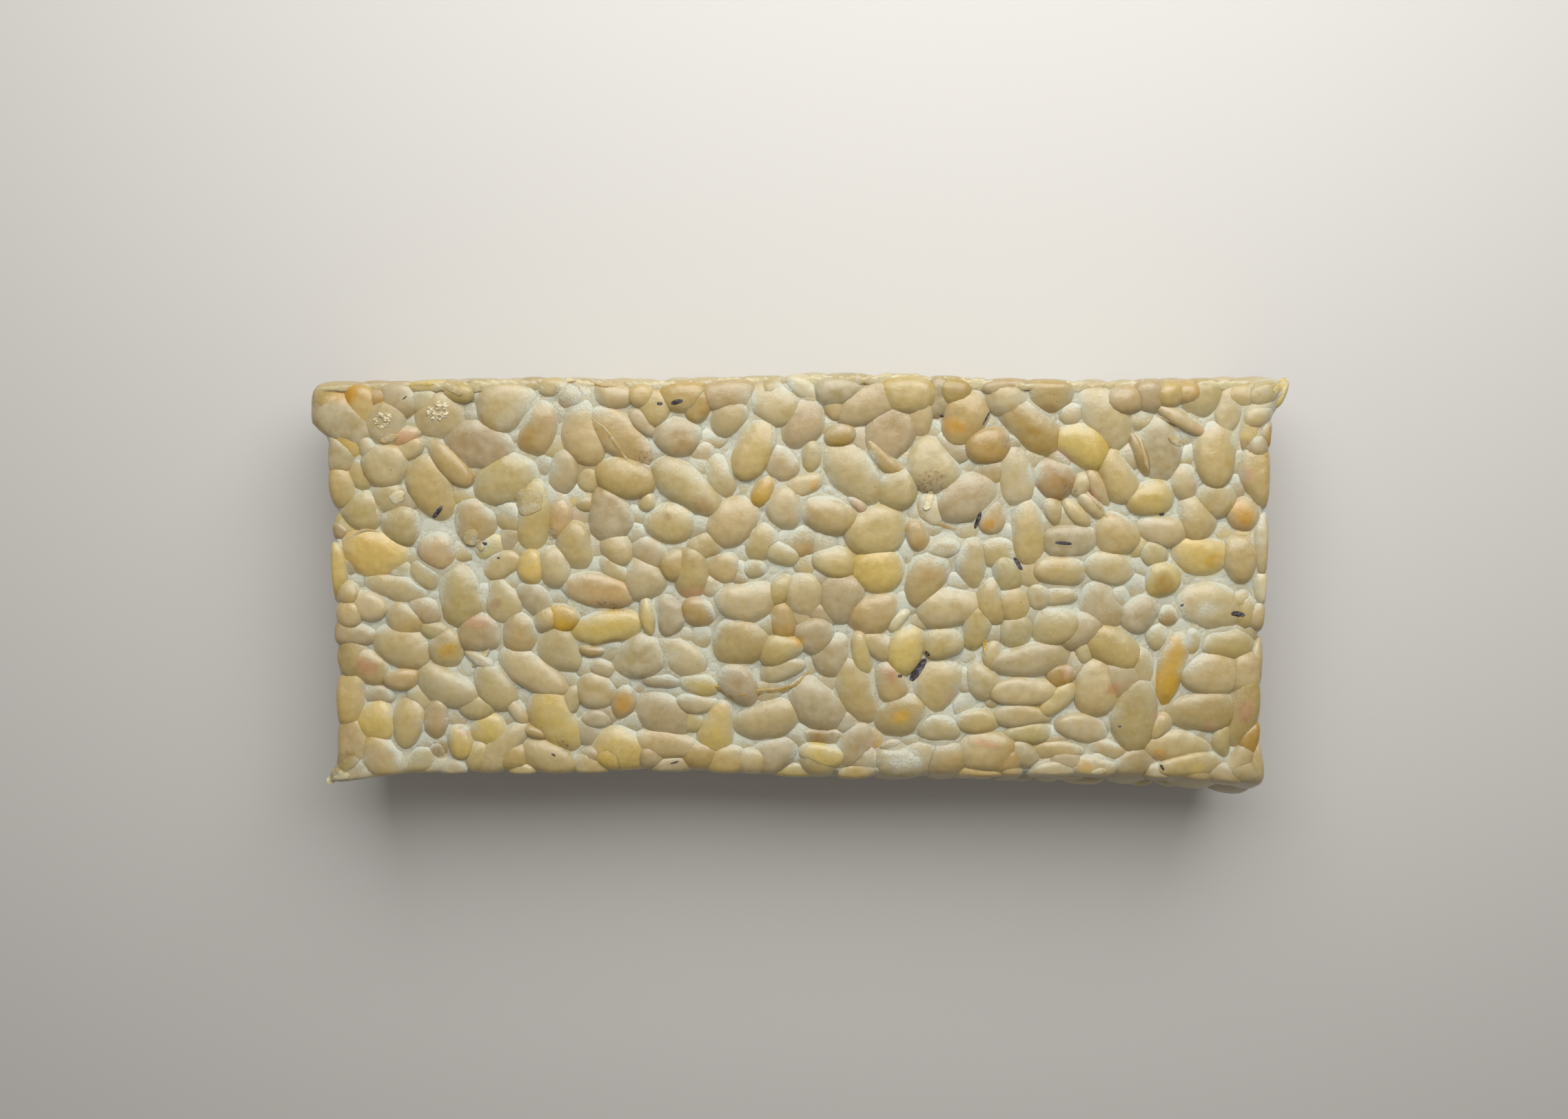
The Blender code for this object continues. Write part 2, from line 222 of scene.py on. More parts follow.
# The beans of the top, as they lie, in mm in the plane of the top: the middle along X and Y, the length and
# the width, the turn of the length from +X in degrees, how deep the crown is sunk, and the tone.
TOP_BEANS = [
    # Left end, back to front.
    (-83.0, 29.6, 11.5, 8.6, 80, 0.1, "grey"),
    (-79.0, 31.2, 8.5, 4.2, 95, 0.5, "straw"),
    (-75.4, 28.4, 8.2, 6.6, 75, 0.4, "pale"),
    (-72.4, 32.8, 7.6, 6.4, 95, 0.5, "grey"),
    (-65.0, 29.6, 10.6, 9.2, 10, 0.3, "pale"),
    (-67.0, 35.2, 7.5, 2.6, 0, 0.9, "yellow"),
    (-71.4, 26.2, 6.0, 3.6, 20, 0.7, "peach"),
    (-83.6, 22.6, 7.6, 5.4, 75, 0.4, "grey"),
    (-78.8, 24.2, 5.6, 3.4, 105, 0.3, "cream"),
    (-79.6, 19.8, 7.6, 5.2, 98, 0.5, "straw"),
    (-71.8, 23.4, 7.0, 3.6, 28, 0.4, "straw"),
    (-83.5, 16.6, 7.6, 5.6, 112, 0.1, "straw"),
    (-80.4, 12.0, 8.0, 7.0, 20, 0.0, "straw"),
    (-75.2, 14.8, 6.0, 5.8, 90, 0.6, "cream"),
    (-73.0, 9.6, 7.8, 6.8, 90, 0.1, "olive"),
    (-66.7, 16.2, 12.6, 7.2, 113, 0.0, "straw"),
    (-63.6, 21.0, 10.0, 4.6, 132, 0.2, "tan"),
    (-53.0, 32.0, 10.6, 9.2, 30, 0.0, "pale"),
    (-59.0, 34.4, 5.0, 3.4, 60, 0.8, "grey"),
    (-47.3, 27.0, 10.6, 6.6, 68, 0.1, "tan"),
    (-53.2, 18.0, 12.0, 8.4, 25, 0.0, "straw"),
    (-59.2, 10.2, 9.4, 7.6, 100, 0.3, "tan"),
    (-48.4, 10.8, 13.0, 6.0, 82, 0.1, "straw"),
    (-43.6, 11.0, 7.8, 3.8, 80, 0.4, "peach"),
    (-77.6, 4.4, 13.0, 8.4, 168, 0.0, "yellow"),
    (-66.3, 4.8, 7.0, 5.8, 110, 0.1, "peach"),
    (-84.2, 8.6, 3.6, 2.8, 120, 0.8, "brown"),
    (-85.0, 1.0, 11.0, 3.2, 92, 0.3, "yellow"),
    (-52.8, 7.6, 5.6, 4.4, 60, 0.9, "beige"),
    (-54.6, 2.6, 7.0, 5.0, 20, 0.5, "straw"),
    # Back edge and upper part, left of the middle.
    (-44.4, 35.0, 5.2, 4.0, 10, 0.5, "straw"),
    (-39.3, 27.4, 11.8, 7.2, 95, 0.3, "cream"),
    (-39.6, 33.8, 6.2, 3.6, 175, 0.8, "cream"),
    (-33.8, 31.8, 7.0, 4.6, 155, 0.8, "peach"),
    (-31.6, 25.2, 15.0, 6.4, 140, 0.1, "tan"),
    (-28.4, 28.2, 6.6, 3.2, 135, 0.6, "beige"),
    (-26.3, 31.4, 6.8, 5.6, 100, 0.2, "straw"),
    (-22.0, 26.0, 8.6, 7.4, 10, 0.1, "beige"),
    (-18.2, 32.2, 7.4, 5.4, 80, 0.1, "ochre"),
    (-12.8, 30.2, 8.8, 6.8, 75, 0.1, "cream"),
    (-8.0, 24.2, 11.4, 6.2, 70, 0.0, "straw"),
    (-5.0, 32.4, 10.0, 7.2, 150, 0.1, "pale"),
    (0.8, 28.0, 9.0, 7.8, 60, 0.1, "beige"),
    (1.0, 34.8, 7.2, 3.4, 140, 0.4, "white"),
    (-3.3, 21.2, 7.8, 6.4, 130, 0.5, "beige"),
    (-6.5, 16.1, 5.6, 3.2, 66, 0.3, "gold"),
    (-31.8, 18.8, 10.8, 6.8, 165, 0.0, "tan"),
    (-38.6, 18.2, 5.4, 4.2, 90, 0.7, "olive"),
    (-42.8, 19.6, 8.2, 5.4, 80, 0.6, "beige"),
    (-20.1, 16.8, 14.4, 7.4, 143, 0.0, "olive"),
    (-23.8, 10.2, 10.0, 7.6, 0, 0.1, "straw"),
    (-14.5, 18.8, 8.4, 5.6, 108, 0.3, "cream"),
    (-17.6, 23.2, 4.6, 4.2, 0, 0.8, "cream"),
    (-12.0, 10.8, 11.8, 8.4, 38, 0.0, "cream"),
    (-2.4, 12.7, 8.8, 5.8, 95, 0.1, "cream"),
    (-38.4, 13.6, 4.6, 3.0, 10, 0.7, "ochre"),
    (-27.8, 14.2, 3.8, 2.8, 80, 0.6, "straw"),
    (-41.0, 5.6, 9.0, 6.4, 100, 0.0, "straw"),
    (-33.4, 5.8, 6.4, 5.8, 0, 0.5, "pale"),
    (-27.4, 4.8, 7.4, 5.4, 150, 0.4, "beige"),
    (-17.0, 5.8, 6.6, 5.0, 20, 0.4, "straw"),
    (-6.6, 6.6, 6.6, 5.0, 60, 0.4, "straw"),
    # Back edge and upper part, right of the middle.
    (6.6, 32.2, 5.6, 4.0, 90, 0.6, "tan"),
    (13.2, 32.2, 11.6, 6.8, 25, 0.1, "beige"),
    (7.6, 26.2, 5.8, 3.6, 15, 0.3, "ochre"),
    (21.8, 30.2, 10.2, 5.0, 85, 0.4, "cream"),
    (25.8, 33.2, 7.0, 4.8, 80, 0.6, "grey"),
    (30.2, 29.6, 12.0, 7.6, 68, 0.0, "tan"),
    (34.8, 24.3, 8.6, 6.4, 15, 0.0, "ochre"),
    (37.6, 34.8, 8.4, 3.6, 3, 0.5, "beige"),
    (45.6, 34.0, 8.4, 7.2, 15, 0.0, "tan"),
    (42.2, 27.4, 13.2, 6.8, 137, 0.0, "ochre"),
    (9.7, 19.6, 13.4, 8.4, 135, 0.0, "cream"),
    (15.7, 21.8, 8.6, 3.0, 138, 0.3, "ochre"),
    (18.0, 16.4, 7.4, 6.6, 90, 0.1, "olive"),
    (24.3, 20.6, 10.0, 8.6, 120, 0.2, "cream"),
    (2.4, 22.4, 5.2, 3.8, 90, 0.7, "olive"),
    (1.2, 17.0, 6.8, 3.8, 15, 0.3, "cream"),
    (5.8, 11.9, 11.0, 6.6, 168, 0.0, "tan"),
    (10.6, 13.8, 4.2, 2.2, 140, 0.4, "beige"),
    (14.3, 8.8, 11.4, 8.2, 20, 0.0, "straw"),
    (31.0, 14.8, 11.8, 8.2, 25, 0.0, "beige"),
    (39.4, 19.0, 10.4, 6.2, 98, 0.3, "pale"),
    (24.4, 13.0, 6.2, 4.2, 115, 0.5, "white"),
    (21.9, 8.0, 5.4, 4.0, 112, 0.1, "ochre"),
    (35.6, 11.6, 6.8, 4.0, 82, 0.5, "peach"),
    (42.3, 8.6, 11.4, 5.6, 93, 0.0, "straw"),
    (36.8, 4.8, 7.4, 5.2, 0, 0.3, "straw"),
    (46.6, 18.6, 7.8, 6.6, 140, 0.1, "brown"),
    (26.6, 5.4, 6.2, 3.6, 10, 0.4, "straw"),
    # Back right.
    (55.2, 30.6, 14.6, 8.8, 122, 0.2, "pale"),
    (49.2, 30.2, 4.8, 4.0, 0, 0.7, "pale"),
    (51.4, 24.6, 9.6, 7.2, 155, 0.0, "yellow"),
    (63.6, 33.6, 7.4, 6.6, 0, 0.2, "beige"),
    (72.6, 33.2, 8.0, 7.0, 90, 0.2, "cream"),
    (69.0, 29.4, 10.0, 2.8, 150, 0.2, "tan"),
    (61.9, 22.6, 8.4, 2.3, 115, 0.3, "ochre"),
    (58.1, 19.2, 10.4, 5.8, 115, 0.1, "straw"),
    (75.6, 23.4, 13.0, 7.8, 100, 0.0, "straw"),
    (78.0, 31.4, 8.6, 4.8, 95, 0.3, "pale"),
    (81.8, 27.6, 12.0, 4.2, 90, 0.2, "yellow"),
    (84.6, 26.4, 5.2, 2.6, 110, 0.5, "ochre"),
    (84.4, 32.6, 6.4, 3.0, 88, 0.5, "cream"),
    (87.4, 33.2, 4.6, 3.0, 70, 0.4, "yellow"),
    (83.8, 18.8, 11.0, 6.2, 105, 0.0, "straw"),
    (64.0, 14.8, 8.0, 6.8, 10, 0.0, "yellow"),
    (70.3, 17.4, 7.6, 4.4, 100, 0.3, "cream"),
    (76.0, 14.6, 8.0, 6.4, 60, 0.6, "olive"),
    (72.6, 11.2, 8.8, 6.4, 100, 0.1, "cream"),
    (81.0, 12.0, 6.4, 5.2, 120, 0.3, "peach"),
    (66.2, 8.8, 8.6, 4.8, 170, 0.2, "cream"),
    (58.0, 7.9, 8.8, 7.8, 30, 0.0, "straw"),
    (49.8, 6.8, 10.0, 6.2, 5, 0.2, "grey"),
    (46.7, 12.2, 5.4, 3.2, 105, 0.5, "straw"),
    (50.9, 12.2, 6.6, 2.8, 135, 0.3, "cream"),
    (53.2, 13.4, 6.8, 2.6, 133, 0.4, "cream"),
    (51.6, 17.3, 4.8, 3.4, 60, 0.6, "pale"),
    (55.1, 16.2, 8.6, 2.8, 118, 0.5, "cream"),
    (85.3, 6.4, 10.4, 3.6, 90, 0.2, "pale"),
    (65.0, 4.6, 5.6, 4.2, 130, 0.6, "olive"),
    (74.0, 4.2, 9.6, 7.2, 172, 0.0, "yellow"),
    (81.0, 3.6, 9.4, 5.8, 95, 0.1, "straw"),
    # Front left.
    (-74.2, -1.8, 11.6, 5.2, 165, 0.3, "cream"),
    (-68.6, 0.8, 6.8, 5.0, 130, 0.3, "olive"),
    (-80.4, -4.8, 8.8, 4.9, 163, 0.2, "pale"),
    (-68.8, -5.8, 7.0, 5.0, 155, 0.3, "beige"),
    (-61.9, -3.4, 11.4, 8.0, 100, 0.0, "olive"),
    (-82.3, -10.3, 8.0, 5.0, 175, 0.3, "beige"),
    (-72.8, -7.8, 7.8, 6.2, 130, 0.1, "tan"),
    (-73.0, -12.4, 11.0, 7.6, 150, 0.0, "cream"),
    (-67.0, -9.8, 6.0, 3.8, 165, 0.5, "olive"),
    (-65.2, -13.2, 7.4, 6.4, 110, 0.1, "olive"),
    (-58.7, -10.2, 8.2, 6.8, 0, 0.1, "beige"),
    (-54.8, -3.8, 9.0, 6.2, 115, 0.3, "cream"),
    (-48.6, -4.2, 7.8, 6.6, 120, 0.4, "grey"),
    (-51.2, -10.2, 7.6, 6.8, 90, 0.0, "tan"),
    (-43.5, -7.3, 6.2, 4.8, 172, 0.2, "gold"),
    (-80.8, -16.0, 10.6, 6.4, 152, 0.0, "tan"),
    (-44.0, -13.2, 10.0, 7.6, 120, 0.1, "pale"),
    (-58.0, -16.0, 8.0, 2.4, 145, 0.2, "cream"),
    (-56.3, -20.4, 9.4, 6.2, 125, 0.1, "cream"),
    (-49.0, -17.4, 12.8, 5.8, 145, 0.2, "cream"),
    (-65.2, -20.4, 11.2, 6.8, 160, 0.0, "pale"),
    (-73.2, -18.8, 6.6, 4.2, 10, 0.3, "tan"),
    (-83.3, -22.0, 9.6, 6.0, 75, 0.1, "straw"),
    (-77.6, -21.8, 5.4, 4.0, 0, 0.9, "beige"),
    (-78.3, -26.6, 7.4, 6.0, 95, 0.0, "yellow"),
    (-72.3, -26.6, 10.4, 5.4, 87, 0.1, "straw"),
    (-67.3, -26.6, 8.0, 4.6, 80, 0.2, "tan"),
    (-59.7, -23.8, 6.6, 4.6, 172, 0.2, "olive"),
    (-57.6, -28.2, 6.4, 5.6, 0, 0.3, "yellow"),
    (-62.8, -30.0, 7.8, 4.4, 95, 0.1, "yellow"),
    (-59.4, -33.4, 6.6, 4.4, 70, 0.3, "straw"),
    (-55.2, -32.3, 13.6, 5.6, 48, 0.0, "cream"),
    (-52.0, -24.6, 5.4, 2.6, 125, 0.5, "cream"),
    (-45.0, -26.6, 11.4, 7.8, 122, 0.0, "yellow"),
    (-48.8, -28.8, 4.4, 2.2, 160, 0.4, "tan"),
    (-46.8, -33.8, 11.4, 7.2, 142, 0.1, "cream"),
    (-51.4, -36.4, 5.2, 3.2, 175, 0.5, "pale"),
    (-83.0, -30.4, 8.6, 6.4, 100, 0.3, "cream"),
    (-76.6, -34.0, 9.8, 6.0, 135, 0.1, "straw"),
    (-71.6, -34.4, 7.8, 5.0, 20, 0.2, "olive"),
    (-67.2, -32.0, 4.6, 3.4, 60, 0.6, "ochre"),
    (-64.6, -35.9, 5.4, 3.9, 175, 0.3, "grey"),
    (-69.6, -37.0, 9.0, 2.4, 8, 0.8, "pale"),
    (-82.8, -36.4, 8.4, 5.4, 172, 0.2, "grey"),
    (-77.2, -37.6, 5.0, 3.0, 0, 0.7, "pale"),
    # Front, left of the middle.
    (-36.6, -2.2, 13.4, 5.8, 170, 0.2, "tan"),
    (-28.4, 0.6, 8.6, 6.8, 100, 0.3, "pale"),
    (-33.6, 1.4, 6.2, 3.8, 140, 0.5, "straw"),
    (-22.8, 2.6, 5.4, 4.4, 70, 0.6, "tan"),
    (-19.4, 0.8, 9.4, 6.0, 88, 0.2, "straw"),
    (-13.6, 1.8, 6.4, 5.2, 30, 0.6, "tan"),
    (-8.2, 1.8, 4.6, 3.8, 0, 0.7, "olive"),
    (-3.0, 4.6, 6.4, 4.0, 160, 0.5, "straw"),
    (-9.4, -4.2, 10.4, 7.6, 10, 0.0, "pale"),
    (-35.2, -9.0, 12.6, 6.2, 5, 0.0, "yellow"),
    (-27.7, -6.8, 7.0, 2.4, 97, 0.3, "yellow"),
    (-23.4, -6.8, 7.2, 5.4, 90, 0.2, "grey"),
    (-18.2, -6.4, 6.2, 5.2, 160, 0.4, "ochre"),
    (-11.4, -11.6, 13.4, 9.2, 170, 0.0, "olive"),
    (-3.0, -7.8, 6.8, 4.6, 100, 0.3, "ochre"),
    (-3.2, -2.2, 6.4, 4.2, 60, 0.5, "straw"),
    (-30.0, -14.8, 11.0, 7.4, 14, 0.1, "grey"),
    (-22.0, -14.2, 9.6, 6.6, 140, 0.1, "pale"),
    (-38.0, -13.4, 4.8, 2.0, 177, 0.6, "ochre"),
    (-36.2, -16.8, 5.2, 3.4, 160, 0.6, "beige"),
    (-37.2, -21.2, 8.0, 6.2, 170, 0.1, "straw"),
    (-32.3, -23.2, 6.4, 4.2, 72, 0.3, "tan"),
    (-37.0, -26.4, 6.0, 3.6, 175, 0.7, "grey"),
    (-42.2, -22.6, 5.8, 3.4, 60, 0.6, "olive"),
    (-25.0, -25.4, 11.2, 7.6, 150, 0.1, "beige"),
    (-25.0, -19.0, 6.8, 3.0, 0, 0.5, "beige"),
    (-18.0, -19.8, 8.4, 4.2, 165, 0.2, "yellow"),
    (-3.0, -17.0, 8.4, 4.0, 20, 0.3, "pale"),
    (-17.8, -23.2, 8.4, 3.6, 172, 0.4, "pale"),
    (-14.9, -28.3, 10.0, 6.2, 80, 0.0, "yellow"),
    (-5.6, -26.4, 11.2, 7.0, 15, 0.0, "cream"),
    (-24.4, -30.8, 12.2, 5.0, 172, 0.1, "cream"),
    (-32.6, -32.6, 11.4, 8.2, 168, 0.0, "yellow"),
    (-38.4, -35.4, 7.0, 4.4, 160, 0.3, "pale"),
    (-23.7, -35.0, 7.4, 4.0, 5, 0.4, "grey"),
    (-13.8, -34.2, 9.0, 5.4, 15, 0.2, "straw"),
    (-4.8, -32.8, 10.6, 5.8, 28, 0.2, "grey"),
    (-0.8, -36.0, 8.8, 2.8, 5, 0.9, "straw"),
    (-19.6, -26.6, 5.0, 4.0, 30, 0.6, "straw"),
    # Front, right of the middle.
    (6.8, 3.2, 8.6, 5.6, 0, 0.2, "straw"),
    (14.6, 1.8, 9.6, 7.4, 0, 0.0, "yellow"),
    (23.8, 1.2, 12.4, 7.6, 70, 0.0, "tan"),
    (31.8, 2.0, 9.8, 6.0, 98, 0.1, "straw"),
    (38.4, 0.8, 7.0, 5.4, 110, 0.2, "olive"),
    (1.2, -3.4, 8.6, 6.4, 100, 0.3, "cream"),
    (7.7, -3.6, 9.2, 8.0, 80, 0.1, "beige"),
    (14.0, -6.6, 10.4, 7.2, 30, 0.0, "tan"),
    (28.6, -5.1, 11.0, 7.8, 5, 0.0, "pale"),
    (22.5, -8.0, 4.2, 3.2, 170, 0.8, "tan"),
    (18.6, -7.8, 5.2, 2.4, 50, 0.4, "white"),
    (32.9, -9.4, 8.0, 4.6, 80, 0.5, "straw"),
    (39.9, -4.6, 7.8, 6.2, 100, 0.2, "straw"),
    (44.3, -3.3, 5.2, 4.2, 100, 0.5, "cream"),
    (47.4, -8.7, 8.4, 7.0, 10, 0.0, "cream"),
    (40.2, -10.1, 6.2, 5.4, 90, 0.3, "olive"),
    (2.6, -10.8, 7.0, 6.0, 0, 0.3, "beige"),
    (6.6, -13.6, 9.4, 6.2, 58, 0.2, "grey"),
    (11.7, -14.0, 7.0, 3.6, 97, 0.3, "yellow"),
    (11.1, -21.3, 12.0, 7.2, 115, 0.0, "straw"),
    (14.7, -12.2, 6.4, 4.6, 150, 0.4, "straw"),
    (19.9, -12.9, 9.0, 6.4, 62, 0.0, "yellow"),
    (26.7, -12.0, 7.0, 5.2, 8, 0.1, "straw"),
    (17.3, -19.2, 7.4, 6.0, 110, 0.1, "tan"),
    (25.8, -19.6, 10.6, 9.0, 60, 0.0, "straw"),
    (4.0, -23.4, 11.6, 9.4, 152, 0.0, "grey"),
    (19.1, -25.7, 10.0, 7.6, 20, 0.0, "straw"),
    (26.2, -27.8, 8.4, 4.8, 175, 0.2, "olive"),
    (33.9, -19.0, 6.8, 5.2, 132, 0.2, "cream"),
    (43.4, -14.9, 15.4, 6.4, 4, 0.0, "grey"),
    (42.9, -21.0, 12.8, 4.8, 3, 0.1, "cream"),
    (41.6, -25.2, 10.0, 3.8, 177, 0.1, "cream"),
    (33.6, -26.2, 8.4, 4.0, 177, 0.3, "straw"),
    (42.6, -28.6, 8.6, 3.8, 5, 0.5, "olive"),
    (34.5, -31.8, 11.0, 7.0, 165, 0.0, "cream"),
    (23.2, -33.4, 11.6, 5.6, 8, 0.1, "pale"),
    (4.6, -33.0, 8.4, 4.3, 177, 0.1, "yellow"),
    (4.6, -29.4, 7.2, 3.4, 177, 0.8, "ochre"),
    (10.7, -31.4, 8.4, 6.6, 72, 0.2, "beige"),
    (16.3, -33.6, 4.0, 3.4, 0, 0.4, "grey"),
    (17.3, -31.2, 4.4, 2.2, 15, 0.7, "ochre"),
    (11.2, -35.8, 7.4, 3.0, 12, 0.5, "straw"),
    (33.6, -36.0, 8.8, 3.0, 168, 0.6, "straw"),
    (39.6, -35.4, 4.6, 3.4, 150, 0.5, "cream"),
    (41.9, -32.4, 6.0, 4.8, 150, 0.5, "grey"),
    (47.0, -35.9, 8.0, 3.8, 5, 0.3, "pale"),
    (36.2, -22.6, 3.4, 2.8, 60, 0.7, "olive"),
    (36.0, -14.0, 5.0, 3.2, 80, 0.5, "cream"),
    # Front right.
    (48.2, 1.4, 9.4, 6.0, 177, 0.0, "straw"),
    (57.4, 1.9, 10.4, 6.0, 170, 0.0, "pale"),
    (66.8, 0.0, 6.8, 6.0, 90, 0.1, "yellow"),
    (55.4, -4.4, 11.0, 7.8, 110, 0.2, "beige"),
    (48.0, -3.4, 6.4, 3.6, 0, 0.4, "tan"),
    (62.8, -6.6, 6.6, 6.0, 50, 0.1, "grey"),
    (68.0, -6.8, 4.6, 3.6, 100, 0.5, "ochre"),
    (76.8, -5.3, 14.4, 9.2, 177, 0.0, "pale"),
    (84.5, -6.9, 5.4, 3.2, 90, 0.4, "peach"),
    (57.9, -12.8, 10.0, 7.0, 150, 0.0, "straw"),
    (66.2, -10.6, 4.8, 4.0, 110, 0.4, "olive"),
    (63.3, -16.4, 7.4, 4.4, 100, 0.2, "cream"),
    (68.7, -17.0, 12.4, 5.2, 78, 0.0, "gold"),
    (72.6, -11.7, 4.8, 3.2, 80, 0.5, "straw"),
    (79.2, -12.2, 9.8, 5.4, 0, 0.4, "olive"),
    (76.9, -17.7, 13.4, 7.2, 177, 0.0, "cream"),
    (73.8, -24.5, 12.2, 6.4, 5, 0.0, "olive"),
    (82.4, -25.4, 11.8, 5.6, 76, 0.0, "tan"),
    (55.3, -19.8, 10.4, 7.4, 95, 0.1, "cream"),
    (52.8, -27.8, 10.0, 4.8, 175, 0.2, "pale"),
    (47.6, -22.6, 8.4, 3.6, 42, 0.4, "straw"),
    (66.9, -27.4, 5.2, 3.8, 50, 0.5, "cream"),
    (70.8, -30.8, 12.6, 5.4, 3, 0.1, "cream"),
    (78.6, -29.6, 5.4, 3.4, 80, 0.4, "straw"),
    (84.0, -29.6, 6.4, 3.2, 58, 0.4, "ochre"),
    (73.0, -34.5, 11.4, 4.6, 12, 0.2, "straw"),
    (61.9, -34.4, 7.2, 5.4, 20, 0.3, "beige"),
    (54.6, -34.8, 9.0, 4.6, 172, 0.1, "pale"),
    (47.6, -31.7, 9.8, 3.4, 5, 0.5, "tan"),
    (56.4, -31.2, 8.2, 3.6, 172, 0.5, "tan"),
    (67.4, -36.4, 5.4, 3.6, 160, 0.5, "grey"),
    (73.6, -37.0, 5.8, 3.0, 175, 0.5, "beige"),
    (79.2, -36.2, 6.4, 4.0, 170, 0.4, "beige"),
    (82.0, -33.6, 6.4, 3.2, 48, 0.4, "cream"),
    (85.4, -34.6, 7.2, 3.2, 75, 0.4, "pale"),
    (52.8, -13.6, 5.0, 3.2, 100, 0.6, "cream"),
    (85.4, -1.4, 5.8, 3.0, 90, 0.5, "white"),
    (85.7, -15.5, 8.4, 2.4, 90, 0.6, "pale"),
]

# Split halves that lie face up, in the same way.
FLAT_BEANS = [
    (-75.0, 20.6, 8.0, 7.0, 30, 0.2, "cream"),
    (-57.8, 24.4, 11.4, 8.6, 160, 0.7, "beige"),
    (-34.6, 11.4, 9.6, 8.0, 90, 0.4, "grey"),
    (16.2, 26.4, 11.4, 8.6, 60, 0.6, "beige"),
    (65.8, 24.2, 12.6, 7.4, 103, 0.6, "grey"),
    (62.1, -25.3, 13.0, 8.0, 86, 0.2, "olive"),
]

